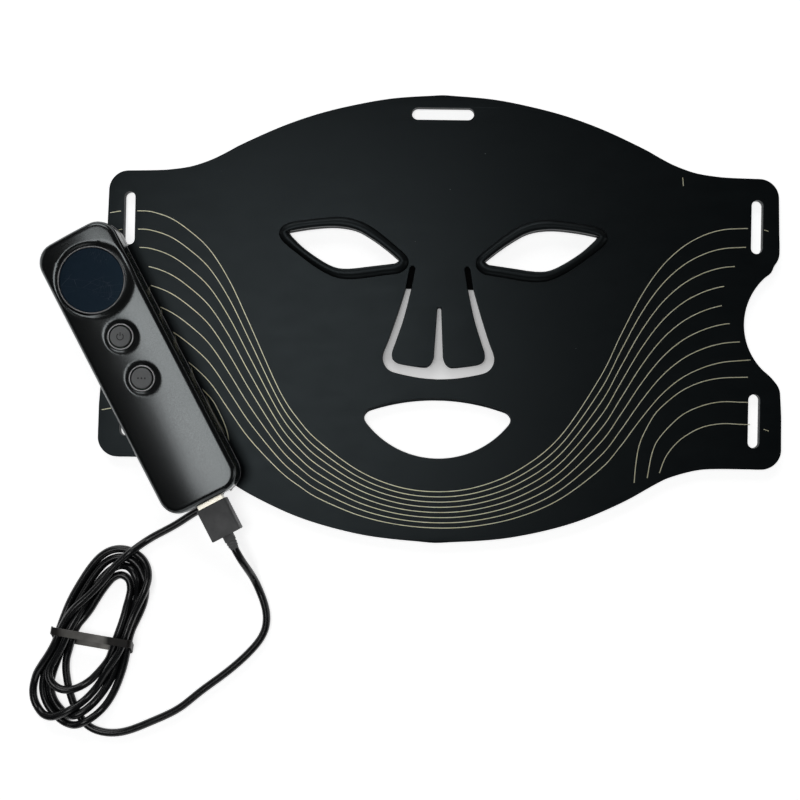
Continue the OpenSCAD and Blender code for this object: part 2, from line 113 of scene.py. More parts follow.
def smooth(obj, angle=38.0, weighted=True):
    mesh = obj.data
    mesh.polygons.foreach_set("use_smooth", [True] * len(mesh.polygons))
    mesh.set_sharp_from_angle(angle=math.radians(angle))
    if weighted:
        mod = obj.modifiers.new("normals", "WEIGHTED_NORMAL")
        mod.keep_sharp = True
        mod.weight = 60
        apply_all(obj)
    return obj


def boolean(obj, other):
    """Cuts the other object out of this one, and removes it."""
    mod = obj.modifiers.new("cut", "BOOLEAN")
    mod.solver = "EXACT"
    mod.operation = "DIFFERENCE"
    mod.object = other
    apply_all(obj)
    bpy.data.objects.remove(other)
    return obj


def bm_of(name):
    bm = bmesh.new()
    bm.from_mesh(NODES[name].data)
    bmesh.ops.remove_doubles(bm, verts=bm.verts, dist=2e-6)
    return bm


def loops_at(name, z):
    """Outlines, in mm, of the level faces that a CAD node has at height z mm."""
    bm = bm_of(name)
    bm.normal_update()

    def level(face):
        return abs(face.normal.z) > 0.99 and abs(face.calc_center_median().z - z * MM) < 1e-5

    links = {}
    for edge in bm.edges:
        if sum(level(f) for f in edge.link_faces) == 1:
            a, b = edge.verts
            links.setdefault(a, []).append(b)
            links.setdefault(b, []).append(a)
    loops, seen = [], set()
    for start in links:
        if start in seen:
            continue
        loop, last, here = [], None, start
        while here not in seen:
            seen.add(here)
            loop.append((here.co.x / MM, here.co.y / MM))
            ahead = [v for v in links[here] if v is not last]
            last, here = here, ahead[0]
        loops.append(loop)
    bm.free()
    return loops


def finer(loop):
    """The outline with extra points on its curved runs, so that no facets show."""
    p = np.array(loop, float)
    count = len(p)
    edge = np.roll(p, -1, axis=0) - p
    length = np.maximum(np.linalg.norm(edge, axis=1), 1e-6)
    heading = np.arctan2(edge[:, 1], edge[:, 0])
    turn = np.abs((heading - np.roll(heading, 1) + math.pi) % (2 * math.pi) - math.pi)
    before = np.roll(edge, 1, axis=0) / np.roll(length, 1)[:, None]
    way = before * length[:, None] + edge / length[:, None] * np.roll(length, 1)[:, None]
    way /= np.maximum(np.linalg.norm(way, axis=1), 1e-9)[:, None]
    out = []
    for i in range(count):
        j = (i + 1) % count
        out.append(tuple(p[i]))
        # straight runs and true corners stay as they are
        if 0.8 < length[i] < 14 and math.radians(1) < max(turn[i], turn[j]) < math.radians(42):
            for t in (1 / 3, 2 / 3):
                here, leave = (1 + 2 * t) * (1 - t) ** 2, t * (1 - t) ** 2
                there, arrive = t * t * (3 - 2 * t), t * t * (t - 1)
                out.append(tuple(here * p[i] + leave * length[i] * way[i] + there * p[j]
                                 + arrive * length[i] * way[j]))
    return out


def sheet(name, loops, z0, z1, bevel):
    """A flat sheet with rounded edges, from its outlines in mm."""
    loops = [finer(loop) for loop in loops]
    curve = bpy.data.curves.new(name, "CURVE")
    curve.dimensions = "2D"
    curve.fill_mode = "BOTH"
    curve.extrude = ((z1 - z0) / 2 - bevel) * MM
    curve.bevel_depth = bevel * MM
    curve.bevel_resolution = 1
    curve.offset = -bevel * MM
    for loop in loops:
        spline = curve.splines.new("POLY")
        spline.points.add(len(loop) - 1)
        for point, (x, y) in zip(spline.points, loop):
            point.co = (x * MM, y * MM, 0, 1)
        spline.use_cyclic_u = True
    obj = apply_all(new_object(name, curve))
    bm = bmesh.new()
    bm.from_mesh(obj.data)
    bmesh.ops.remove_doubles(bm, verts=bm.verts, dist=1e-6)
    bmesh.ops.translate(bm, verts=bm.verts, vec=(0, 0, (z0 + z1) / 2 * MM))
    bmesh.ops.recalc_face_normals(bm, faces=bm.faces)
    bm.to_mesh(obj.data)
    bm.free()
    return obj


def bisect(obj, point, normal, clear=False):
    """Cuts the mesh by a plane; with clear, what lies on the normal's side goes and the cut is capped."""
    bm = bmesh.new()
    bm.from_mesh(obj.data)
    cut = bmesh.ops.bisect_plane(bm, geom=bm.verts[:] + bm.edges[:] + bm.faces[:], dist=1e-7,
                                 plane_co=Vector(point) * MM, plane_no=normal, clear_outer=clear)
    if clear:
        edges = [g for g in cut["geom_cut"] if isinstance(g, bmesh.types.BMEdge) and g.is_boundary]
        bmesh.ops.triangle_fill(bm, use_beauty=True, use_dissolve=True, edges=edges)
        bmesh.ops.recalc_face_normals(bm, faces=bm.faces)
    bm.to_mesh(obj.data)
    bm.free()
    return obj


def wing_creases(obj, side, count):
    """Level cuts along a side panel, so that it bends smoothly."""
    for k in range(1, count + 1):
        bisect(obj, (side * (SEAM_X + 2.5 * k), 0, 0), (1, 0, 0))
    return obj


def flap_creases(obj):
    """The same along the nose flap."""
    for k in range(1, 9):
        bisect(obj, (0, FLAP_Y - 1.3 * k, 0), (0, 1, 0))
    return obj


def box_object(low, high):
    bm = bmesh.new()
    bmesh.ops.create_cube(bm, size=1)
    low, high = Vector(low) * MM, Vector(high) * MM
    for v in bm.verts:
        v.co = [(low[i] + high[i]) / 2 + v.co[i] * (high[i] - low[i]) for i in range(3)]
    return from_bm("cutter", bm)


def circle(radius, count, centre=(0, 0)):
    turns = [2 * math.pi * k / count for k in range(count)]
    return [(centre[0] + radius * math.cos(a), centre[1] + radius * math.sin(a)) for a in turns]


def ring_points(w, l, r):
    """Rounded rectangle, anticlockwise, with extra points along its sides."""
    r = max(r, 0.3)
    points = []
    corners = [(w / 2 - r, -l / 2 + r, -90), (w / 2 - r, l / 2 - r, 0), (-w / 2 + r, l / 2 - r, 90),
               (-w / 2 + r, -l / 2 + r, 180)]

    def on_corner(i, degrees):
        a = math.radians(degrees)
        return corners[i][0] + r * math.cos(a), corners[i][1] + r * math.sin(a)

    for i, (_, _, start) in enumerate(corners):
        points += [on_corner(i, start + 90 * k / 10) for k in range(11)]
        x0, y0 = on_corner(i, start + 90)
        after = (i + 1) % 4
        x1, y1 = on_corner(after, corners[after][2])
        pieces = (96, 24)[i % 2]  # the long sides, in y, and the short ones
        points += [(x0 + (x1 - x0) * t, y0 + (y1 - y0) * t) for t in (k / pieces for k in range(1, pieces))]
    return points


def loft(rings, cap_end=True, wrap=False):
    """bmesh through rings of equal length, each a closed list of (x, y, z) in mm; wrap joins the last to the first."""
    bm = bmesh.new()
    made = [[bm.verts.new(Vector(p) * MM) for p in ring] for ring in rings]
    pairs = list(zip(made, made[1:])) + ([(made[-1], made[0])] if wrap else [])
    for a, b in pairs:
        for i in range(len(a)):
            j = (i + 1) % len(a)
            bm.faces.new((a[i], a[j], b[j], b[i]))
    if not wrap:
        bm.faces.new(made[0][::-1])
        if cap_end:
            bm.faces.new(made[-1])
    bmesh.ops.recalc_face_normals(bm, faces=bm.faces)
    return bm


def strip(bm, sections):
    """Solid strip through six-sided sections, points in mm."""
    made = [[bm.verts.new(Vector(p) * MM) for p in section] for section in sections]
    bm.faces.new(made[0])
    for a, b in zip(made, made[1:]):
        for j in range(6):
            bm.faces.new((a[j], a[(j + 1) % 6], b[(j + 1) % 6], b[j]))
    bm.faces.new(made[-1][::-1])


def lathe(profile, centre, sides=96):
    """Solid turned round a vertical axis, from (radius, height) in mm; a profile off the axis makes a ring."""
    rings = [[(x, y, z) for x, y in circle(max(radius, 0.01), sides, centre)] for radius, z in profile]
    return loft(rings, wrap=profile[0][0] > 0 and profile[-1][0] > 0)


CTL_TURN = math.radians(28.6)
CTL = Matrix.Translation((-132.1 * MM, -24.9 * MM, 0)) @ Matrix.Rotation(CTL_TURN, 4, "Z")


def ctl_object(name, bm):
    """Object from a mesh given in the controller's own axes."""
    bmesh.ops.transform(bm, matrix=CTL, verts=bm.verts)
    return from_bm(name, bm)


def ctl_box(low, high):
    cutter = box_object(low, high)
    cutter.data.transform(CTL)
    return cutter


def spline_through(points, per_span):
    p = np.array(points, float)
    out = []
    for i in range(len(p) - 1):
        a, b, c, d = p[max(i - 1, 0)], p[i], p[i + 1], p[min(i + 2, len(p) - 1)]
        for k in range(per_span):
            t = k / per_span
            out.append(0.5 * (2 * b + (c - a) * t + (2 * a - 5 * b + 4 * c - d) * t * t
                              + (3 * b - a - 3 * c + d) * t ** 3))
    out.append(p[-1])
    return np.array(out)


# ---------------------------------------------------------------- cord
CORD_D = 3.5
FLOOR_Z = CORD_D / 2 + 0.02
# the way the cord is laid, in mm, from the gland through the coil's turns to the plug; flat on the table, 1.8 high,
# where no height is given
LEAD = [(-98.35, -81.4, 1.98), (-101.4, -85.0), (-109.6, -89.9), (-116.3, -94.6), (-122.5, -98.2),
        (-129.5, -102.0, 3.5), (-135.8, -106.9, 6.5)]
TURN_1 = [(-142.8, -112.9, 8.8), (-148.3, -119.4, 8.8), (-153.9, -125.9, 8.4), (-159.4, -132.2, 7.4),
          (-164.3, -138.3, 6.4), (-167.9, -143.7, 5.8), (-172.2, -151.2, 5.4), (-176.6, -158.7, 5.4),
          (-180.6, -166.6, 5.4), (-181.7, -173.7, 5.4), (-179.1, -180.1, 5.4), (-173.3, -183.3, 5.4),
          (-166.3, -182.1, 5.4), (-159.3, -177.7, 5.4), (-153.7, -171.9, 5.4), (-148.9, -165.7, 5.4),
          (-144.7, -159.0, 5.4), (-141.2, -152.0, 5.4), (-137.9, -144.5, 5.2), (-134.5, -137.4, 4.4),
          (-131.5, -129.5, 3.0), (-129.7, -121.0), (-131.7, -113.4), (-136.1, -108.5), (-142.2, -106.6),
          (-148.6, -108.0), (-154.0, -113.0), (-158.3, -119.1), (-161.8, -126.2), (-165.2, -134.1), (-169.0, -142.7)]
TURN_2 = [(-172.2, -150.2), (-175.2, -158.0), (-177.2, -166.5), (-176.3, -175.0), (-171.6, -183.1), (-164.0, -187.3),
          (-156.3, -185.4), (-149.3, -179.8), (-144.1, -171.6), (-140.8, -162.3), (-138.3, -153.8), (-136.8, -146.6),
          (-133.2, -137.4), (-131.9, -128.8, 2.4), (-131.3, -121.0, 4.6), (-133.5, -114.7, 4.9),
          (-138.6, -111.2, 4.6), (-144.3, -110.5, 3.6), (-149.9, -113.2, 2.6), (-154.7, -119.3), (-158.8, -126.5),
          (-162.9, -134.4), (-166.6, -142.3)]
TURN_3 = [(-169.3, -150.8, 2.2), (-172.4, -158.7, 2.6), (-173.9, -166.5, 2.4), (-173.1, -173.6, 2.2),
          (-169.5, -179.9, 2.0), (-163.4, -182.6, 2.0), (-157.1, -180.7, 2.0), (-151.2, -174.6, 2.0),
          (-146.7, -166.7, 2.0), (-143.0, -158.8, 2.0), (-140.3, -150.6, 2.4), (-138.7, -143.8, 3.6),
          (-135.6, -134.6, 4.4), (-133.7, -126.0, 5.2), (-133.1, -119.6, 5.6), (-136.0, -114.7, 5.6),
          (-141.4, -113.8, 5.4), (-146.3, -116.3, 4.8), (-151.1, -121.8, 4.0), (-156.0, -128.6, 3.4),
          (-160.8, -135.8, 3.6), (-165.0, -142.6, 4.6)]
TURN_4 = [(-168.3, -149.4, 5.4), (-172.1, -156.5, 5.6), (-174.1, -162.6, 5.6), (-171.8, -168.2, 5.6),
          (-165.8, -171.0, 5.4), (-159.4, -169.8, 5.4), (-153.1, -165.2, 5.4), (-147.6, -158.9, 5.4),
          (-143.4, -152.4, 5.6), (-141.1, -146.7, 5.6), (-138.1, -136.7, 3.8), (-136.6, -128.5, 2.4),
          (-137.0, -123.0, 2.2), (-139.8, -118.9, 2.0), (-144.0, -118.2), (-147.8, -121.2), (-151.2, -126.0),
          (-154.5, -130.7), (-160.0, -137.9), (-163.8, -143.6)]
TAIL = [(-166.2, -150.7), (-166.9, -158.6), (-165.9, -166.3), (-163.9, -174.1), (-161.3, -181.1), (-157.7, -186.2),
        (-152.7, -189.3), (-145.6, -190.6), (-137.8, -189.4), (-126.5, -184.6), (-114.7, -178.8), (-104.6, -170.4),
        (-91.9, -160.7), (-81.7, -151.0), (-75.9, -142.4), (-75.7, -132.9, 2.4), (-79.7, -122.6, 5.0),
        (-84.0, -113.0, 8.8), (-86.7, -108.2, 10.7), (-88.85, -104.2, 11.0)]
COIL_X = -130  # the coil lies on this line's -x side
TIE_A, TIE_B = np.array((-170.9, -143.8)), np.array((-136.8, -148.8))
TIE_WAY = (TIE_B - TIE_A) / np.linalg.norm(TIE_B - TIE_A)


def resample(path, count=None, apart=None):
    """The same path with evenly spaced points: this many, or this far apart."""
    length = np.concatenate([[0], np.cumsum(np.linalg.norm(np.diff(path, axis=0), axis=1))])
    where = np.linspace(0, length[-1], count or int(round(length[-1] / apart)) + 1)
    return np.stack([np.interp(where, length, values) for values in path.T], axis=1)


def eased(moves, times):
    """Moves of single points spread along their neighbours, so that the cord bends instead of kinking."""
    for _ in range(times):
        padded = np.pad(moves, ((1, 1), (0, 0)), mode="edge")
        moves = 0.25 * padded[:-2] + 0.5 * padded[1:-1] + 0.25 * padded[2:]
    return moves


def settle(plan, steps):
    """Lets the cord sink onto the table and onto itself, its strands kept a diameter apart."""
    p = plan.copy()
    rest = np.linalg.norm(np.diff(p, axis=0), axis=1)
    count = len(p)
    index = np.arange(count)
    held = np.zeros(count, bool)
    held[:3] = held[-5:] = True  # in the gland, and in the plug
    free = ~held[:, None]
    gap = CORD_D + 0.05
    for turn in range(steps):
        p[~held, 2] -= 0.035  # weight
        # stiffness, then a light pull back to the way it was laid
        bow = np.zeros_like(p)
        bow[2:-2] = -(p[:-4] - 4 * p[1:-3] + 6 * p[2:-2] - 4 * p[3:-1] + p[4:]) / 16
        bow[1:-1] += 0.06 * (p[:-2] - 2 * p[1:-1] + p[2:])
        p += np.where(free, bow * 0.9, 0)
        p[~held, :2] += 0.05 * (plan[~held, :2] - p[~held, :2])
        # the tie pulls the strands near it into two bundles; along it, and away from its line
        along = (p[:, :2] - TIE_A) @ TIE_WAY
        across = np.abs((p[:, :2] - TIE_A) @ np.array((-TIE_WAY[1], TIE_WAY[0])))
        bunched = np.where(along < 17, np.clip(along, 2.6, 12.5), np.clip(along, 21.5, 32.0))
        grip = np.where(p[:, 0] < COIL_X, 0.12 * np.exp(-(across / 11) ** 2), 0)
        p[:, :2] += eased(((bunched - along) * grip)[:, None] * TIE_WAY, 4)
        # strands that touch push each other apart
        if turn % 4 == 0:
            apart = np.linalg.norm(p[:, None] - p[None], axis=2)
            near = np.argwhere((apart < gap + 1.2) & (index[:, None] - index[None] > 5))
        for _ in range(3):
            a, b = near[:, 0], near[:, 1]
            d = p[a] - p[b]
            size = np.maximum(np.linalg.norm(d, axis=1), 1e-6)
            push = np.maximum(gap - size, 0)[:, None] * d / size[:, None] * 0.5
            moves = np.zeros_like(p)
            np.add.at(moves, a, push)
            np.add.at(moves, b, -push)
            p += np.where(free, eased(moves, 3) * 0.8, 0)
        # no piece of it gets longer or shorter
        for first in (0, 1):
            i = np.arange(first, count - 1, 2)
            d = p[i + 1] - p[i]
            size = np.linalg.norm(d, axis=1)
            fix = (0.5 * (size - rest[i]) / size)[:, None] * d * 0.5
            p[i] += np.where(held[i, None], 0, fix)
            p[i + 1] -= np.where(held[i + 1, None], 0, fix)
        # the tie's lower run lies between the coil and the table
        low = FLOOR_Z + np.where((across < 5.5) & (p[:, 0] < COIL_X), 0.7, 0)
        p[:, 2] = np.where(held, p[:, 2], np.maximum(p[:, 2], low))
    return p


laid = [(x, y, *(z or [1.8])) for x, y, *z in LEAD + TURN_1 + TURN_2 + TURN_3 + TURN_4 + TAIL]
route = settle(resample(spline_through(laid, 8), apart=2.2), 420)
knots = np.concatenate([route[:-1:2], route[-1:]])

curve = bpy.data.curves.new("cord", "CURVE")
curve.dimensions = "3D"
curve.bevel_depth = CORD_D / 2 * MM
curve.bevel_resolution = 5
curve.resolution_u = 4
curve.use_fill_caps = True
line = curve.splines.new("BEZIER")
line.bezier_points.add(len(knots) - 1)
for i, point in enumerate(line.bezier_points):
    ahead = knots[min(i + 1, len(knots) - 1)] - knots[max(i - 1, 0)]
    point.handle_left_type = point.handle_right_type = "FREE"
    point.co = Vector(knots[i]) * MM
    point.handle_left = Vector(knots[i] - ahead / 6) * MM
    point.handle_right = Vector(knots[i] + ahead / 6) * MM
cord = new_object("cord", curve)


def band_loop():
    """The tie: a flat band closed round both bundles."""
    side = np.array((TIE_WAY[1], -TIE_WAY[0]))
    middle = (TIE_A + TIE_B) / 2
    along = (route[:, :2] - middle) @ TIE_WAY
    across = (route[:, :2] - middle) @ side
    near = (np.abs(across) < 3.0) & (np.abs(along) < 26)
    clear = CORD_D / 2 + 0.4
    left, right = along[near].min() - clear, along[near].max() + clear
    top_left = route[near & (along < 0), 2].max() + clear
    top_right = route[near & (along > 0), 2].max() + clear
    low, shift, turn = 0.42, 4.2, 1.6
    path = []
    for x, z, dx, dz, start in ((left, low, 1, 1, 270), (left, top_left, 1, -1, 180),
                                (right, top_right, -1, -1, 90), (right, low, -1, 1, 0)):
        cx, cz = x + dx * turn, z + dz * turn
        for k in range(6):
            a = math.radians(start - 90 * k / 5)
            path.append((cx + turn * math.cos(a), cz + turn * math.sin(a)))
    rings = []
    count = len(path)
    for i, (x, z) in enumerate(path):
        before, after = path[i - 1], path[(i + 1) % count]
        t = np.array((after[0] - before[0], after[1] - before[1]))
        t /= np.linalg.norm(t)
        n = np.array((-t[1], t[0]))
        # the run on the table lies lower in the picture than the run on top
        offset = shift * (1 - min(max((z - low) / 5.0, 0), 1))
        ring = []
        for w, h in ((-1.6, 0.3), (-1.75, 0.15), (-1.75, -0.15), (-1.6, -0.3), (1.6, -0.3), (1.75, -0.15),
                     (1.75, 0.15), (1.6, 0.3)):
            px, pz = x + n[0] * h, z + n[1] * h
            plan = middle + TIE_WAY * px + side * (w + offset)
            ring.append((plan[0], plan[1], max(pz, 0.05)))
        rings.append(ring)
    return loft(rings, wrap=True)


tie = from_bm("cord_tie_band", band_loop())


# ---------------------------------------------------------------- mask sheets
def step(x):
    x = min(max(x, 0.0), 1.0)
    return x * x * (3 - 2 * x)


def shift_seam(loops, from_x, to_x):
    """Lengthens the outlines past the seam, each along its own direction there."""
    out = []
    for loop in loops:
        longer = []
        for i, (x, y) in enumerate(loop):
            if abs(x - from_x) < 0.02:
                before, after = loop[i - 1], loop[(i + 1) % len(loop)]
                near = before if abs(before[0] - from_x) > 0.02 else after
                x, y = to_x, y + (y - near[1]) / (x - near[0]) * (to_x - x)
            longer.append((x, y))
        out.append(longer)
    return out


def on_hinge(y):
    """On the flap's hinge line, as the CAD solids have it."""
    return abs(y - 13.4) < 0.02


def centre_loops(node, z):
    return shift_seam(shift_seam(loops_at(node, z), SEAM_X - 0.05, SEAM_X + 2), 0.05 - SEAM_X, -SEAM_X - 2)


def centre_sheet(name, loops, z0, z1, bevel, cut_low):
    """Sheet cut square at both seams and at the flap's hinge."""
    obj = sheet(name, loops, z0, z1, bevel)
    for side in (1, -1):
        bisect(obj, (side * SEAM_X, 0, 0), (side, 0, 0), clear=True)
    boolean(obj, box_object((-13.6, 8, cut_low), (13.6, FLAP_Y, 6)))
    return smooth(obj)


def front_panel():
    # corners on the hinge line move past it, and the cut makes them square
    loops = [[(math.copysign(13.06, x), 11.5) if on_hinge(y) and abs(x) < 12.9 else (x, y) for x, y in loop]
             for loop in centre_loops("front_skin", FACE_Z)]
    return centre_sheet("face_sheet_front", loops, BACK_TOP, FACE_Z, 0.3, 0)


def back_panel():
    loops = []
    for loop in centre_loops("back_skin", 0):
        out = []
        for i, (x, y) in enumerate(loop):
            out.append((x, y))
            nx, ny = loop[(i + 1) % len(loop)]
            if on_hinge(y) and on_hinge(ny) and abs(x) < 16 and abs(nx) < 16:
                # the hinge edge steps past the line, for the same cut
                s = math.copysign(1, x)
                out += [(s * 12.8, 13.4), (s * 13.1, 11.5), (-s * 13.1, 11.5), (-s * 12.8, 13.4)]
        if -60 < np.mean([y for x, y in out]) < -38 and max(abs(x) for x, y in out) < 40:
            # the back layer stands a little into the mouth along its upper edge
            out = [(x, y - 0.9 * step((y + 47) / 5)) for x, y in out]
        loops.append(out)
    return centre_sheet("face_sheet_back", loops, 0, BACK_TOP, 0.25, -2)


# each layer: its outer height, where its outline is read, then its bottom, top and rounding
LAYERS = {"front": (FACE_Z, BACK_TOP, FACE_Z, 0.3), "back": (0, 0, BACK_TOP, 0.25)}


def wing_panel(word, layer):
    side, (outer, *span) = SIDES[word], LAYERS[layer]
    loops = shift_seam(loops_at(f"{layer}_skin_{word}_wing", outer), side * (SEAM_X + 0.05), side * (SEAM_X - 2))
    obj = sheet(f"{word}_wing_{layer}", loops, *span)
    bisect(obj, (side * SEAM_X, 0, 0), (-side, 0, 0), clear=True)
    return smooth(wing_creases(obj, side, 13))


def flap_panel(layer):
    outer, *span = LAYERS[layer]
    loops = [[(math.copysign(12.36, x), 15.2) if abs(y - 13.3) < 0.02 else (x, y) for x, y in loop]
             for loop in loops_at(f"nose_flap_{layer}", outer)]
    obj = sheet(f"nose_leaf_{layer}", loops, *span)
    bisect(obj, (0, FLAP_Y, 0), (0, 1, 0), clear=True)
    return smooth(flap_creases(obj))


panel_front = front_panel()
panel_back = back_panel()
wings = {word: (wing_panel(word, "front"), wing_panel(word, "back")) for word in SIDES}
flap_front, flap_back = flap_panel("front"), flap_panel("back")


def build_slot_shade():
    """Near-black sheet at the bottom of the two blind slots above the flap: painted shade, so that the slots read as
    deep.
    """
    nose = next(loop for loop in loops_at("front_skin", FACE_Z) if any(20 < y < 25 and abs(x) < 14 for x, y in loop))
    shade_outlines = []
    for side in (-1, 1):
        run = [(x, y) for x, y in nose if y > 13.2 and 10.9 < side * x < 15.4]
        middle = np.mean(run, axis=0)
        shade_outlines.append(sorted(run, key=lambda q: math.atan2(q[1] - middle[1], q[0] - middle[0])))
    return smooth(sheet("slot_shade_sheet", shade_outlines, BACK_TOP - 0.02, BACK_TOP + 0.06, 0.03), 30)


slot_shade_sheet = build_slot_shade()


# ---------------------------------------------------------------- eye rims
def halves(loop):
    """Upper and lower run of an eye outline, both from its low-x corner to its high-x corner."""
    p = np.array(loop)
    a, b = int(p[:, 0].argmin()), int(p[:, 0].argmax())
    if a < b:
        one, two = p[a:b + 1], np.concatenate([p[b:], p[:a + 1]])[::-1]
    else:
        one, two = np.concatenate([p[a:], p[:b + 1]]), p[b:a + 1][::-1]
    return (one, two) if one[:, 1].mean() > two[:, 1].mean() else (two, one)


def closed_run(loop):
    upper, lower = (resample(half, 90) for half in halves(loop))
    return np.concatenate([upper, lower[::-1][1:-1]])


def eye_rim(name, node):
    loops = sorted(loops_at(node, FACE_Z), key=lambda l: np.ptp(np.array(l)[:, 0]))
    inner, outer = closed_run(loops[0]), closed_run(loops[-1])
    # across the bead: share of its width from the outer foot, height above the face in mm
    section = [(0.0, -0.02), (0.004, 0.2), (0.016, 0.5), (0.04, 0.84), (0.08, 1.22), (0.14, 1.62), (0.22, 1.98),
               (0.32, 2.28), (0.44, 2.5), (0.56, 2.6), (0.68, 2.6), (0.78, 2.52), (0.86, 2.38), (0.92, 2.2),
               (0.96, 1.98), (0.985, 1.7), (0.996, 1.4), (1.0, 1.0), (1.0, -0.02)]
    rings = [[(x, y, FACE_Z + z) for x, y in outer + (inner - outer) * v] for v, z in section]
    return smooth(from_bm(name, loft(rings, wrap=True)), 60, weighted=False)


rims = [eye_rim("eye_bead_left", "eye_rim_left"), eye_rim("eye_bead_right", "eye_rim_right")]


# ---------------------------------------------------------------- printed lines
RIGHT_1 = [(2.0, -77.8), (19.6, -75.0), (37.5, -67.0), (55.2, -52.1), (72.7, -25.1), (81.4, -6.4), (90.1, 11.2),
           (98.8, 24.4), (107.7, 33.3), (116.6, 38.8), (125.6, 41.8), (134.6, 42.6), (140.4, 42.6)]
RIGHT_8 = [(2.3, -94.1), (19.9, -92.6), (37.9, -88.2), (55.7, -80.0), (73.5, -66.2), (82.3, -55.8), (91.1, -43.5),
           (99.9, -32.6), (108.8, -24.9), (117.7, -20.2), (126.7, -17.4), (135.7, -16.4), (142.0, -15.8)]
LEFT_1 = [(-16.5, -76.1), (-34.7, -69.2), (-52.9, -56.5), (-62.1, -47.2), (-71.4, -33.7), (-85.5, -4.0), (-94.9, 15.1),
          (-104.2, 29.2), (-113.4, 37.6), (-122.5, 43.5), (-131.6, 46.3), (-137.9, 46.6)]
LEFT_8 = [(-16.2, -93.0), (-34.3, -89.2), (-52.4, -82.1), (-61.6, -76.6), (-70.7, -69.8), (-84.5, -55.8),
          (-93.8, -43.4), (-103.0, -30.7), (-112.2, -22.3), (-121.4, -16.0), (-130.4, -12.3), (-136.8, -11.5)]
RIGHT_END = (137.5, 137.0, 131.8, 127.5, 127.2, 130.0, 135.4, 139.6)
LEFT_END = (-138.5, -137.5, -137.0, -132.8, -131.6, -131.0, -134.0, -137.6)
ARCS = [[(138.4, -23.8), (135.5, -23.9), (126.5, -24.4), (117.6, -26.4), (108.6, -30.8), (99.7, -38.4), (95.4, -44.4),
         (91.0, -54.0), (89.4, -63.0), (88.7, -72.0)],
        [(138.7, -35.0), (135.8, -35.0), (126.7, -35.0), (117.8, -37.1), (108.8, -41.8), (100.0, -51.1), (96.5, -58.4),
         (94.5, -69.7)],
        [(139.7, -44.9), (135.9, -44.9), (126.9, -44.8), (117.9, -46.8), (109.0, -52.2), (102.9, -59.5), (99.9, -67.3)]]
TICKS = [[(-150.3, 45.5), (-147.8, 46.0), (-145.3, 46.4)], [(-147.4, 37.4), (-146, 37.8), (-144.5, 38.2)],
         [(-152.2, -43.9), (-150, -43.5), (-147.9, -43.1)], [(144.5, 42.1), (145.4, 41.9), (146.4, 41.6)],
         [(145.8, -46.9), (147, -47.3), (148.1, -47.6)], [(107.9, 65.1), (108.1, 63.2), (108.3, 61.3)]]


def all_lines():
    lines = []
    for k in range(8):
        t = k / 7
        left = [tuple(np.array(a) * (1 - t) + np.array(b) * t) for a, b in zip(LEFT_1, LEFT_8)]
        right = [tuple(np.array(a) * (1 - t) + np.array(b) * t) for a, b in zip(RIGHT_1, RIGHT_8)]
        path = spline_through(left[::-1] + right, 8)
        lines.append(path[(path[:, 0] > LEFT_END[k]) & (path[:, 0] < RIGHT_END[k])])
    for arc in ARCS:
        lines.append(spline_through(arc, 8))
        lines.append(spline_through([(-x - 4, y + 2) for x, y in arc if x < 136], 8))
    return lines + [spline_through(t, 2) for t in TICKS]


def split_lines(lines, low, high):
    """The parts of the lines with low <= x <= high, cut exactly at the bounds."""
    out = []
    for path in lines:
        run = []
        for a, b in zip(path[:-1], path[1:]):
            cuts = sorted((bound - a[0]) / (b[0] - a[0]) for bound in (low, high)
                          if b[0] != a[0] and 0 < (bound - a[0]) / (b[0] - a[0]) < 1)
            steps = [0] + cuts + [1]
            for s, e in zip(steps[:-1], steps[1:]):
                p, q = a + (b - a) * s, a + (b - a) * e
                if low <= (p[0] + q[0]) / 2 <= high:
                    if not run:
                        run.append(p)
                    run.append(q)
                elif run:
                    out.append(np.array(run))
                    run = []
        if len(run) > 1:
            out.append(np.array(run))
    return out


def sideways(path, i, half):
    """Half a strip's width, square to the path at its point i."""
    t = np.array(path[min(i + 1, len(path) - 1)]) - np.array(path[max(i - 1, 0)])
    t = t / np.linalg.norm(t)
    return np.array((-t[1], t[0])) * half


def printed(name, paths):
    """Thin printed strips, a few hundredths of a millimetre proud of the face."""
    bm = bmesh.new()
    for path in paths:
        sections = []
        for i, p in enumerate(path):
            n = sideways(path, i, 0.185)
            sections.append([(p[0] + s * n[0], p[1] + s * n[1], FACE_Z + lift) for s, lift in
                             ((1, -0.03), (1, 0.02), (0.75, 0.04), (-0.75, 0.04), (-1, 0.02), (-1, -0.03))])
        strip(bm, sections)
    bmesh.ops.recalc_face_normals(bm, faces=bm.faces)
    return from_bm(name, bm)


lines = all_lines()
print_centre = printed("printed_lines", split_lines(lines, -SEAM_X, SEAM_X))
print_wing = {"left": printed("printed_lines_left", split_lines(lines, -200, -SEAM_X)),
              "right": printed("printed_lines_right", split_lines(lines, SEAM_X, 200))}


# ---------------------------------------------------------------- lamps on the side panels and the nose flap, creased like the sheets
def wing_part(part, word):
    """A creased copy of a side panel's CAD node, and the node's name."""
    node = f"led_{part}_{word}_wing"
    return wing_creases(from_bm(f"{part}_{word}_bending", bm_of(node)), SIDES[word], 12), node


wing_parts = {word: [wing_part(part, word) for part in ("board", "chips", "windows")] for word in SIDES}
nose_board = flap_creases(from_bm("nose_board_bending", bm_of("led_board_nose")))


# ---------------------------------------------------------------- controller
CTL_L, CTL_W, CTL_R = 132.8, 38.0, 9.0
SEAM_Z, TOP_Z, LOW_Z = 11.0, 21.0, 4.0
EDGE_R = 2.6  # the top shell's rolled edge
DISPLAY_Y, POWER_Y, MODE_Y = 43.3, 15.1, -5.5
USB_Z = 11.0
CTL_END = -CTL_L / 2
PLUG_FACE = CTL_END - 2
GRIP_END = PLUG_FACE - 15.5


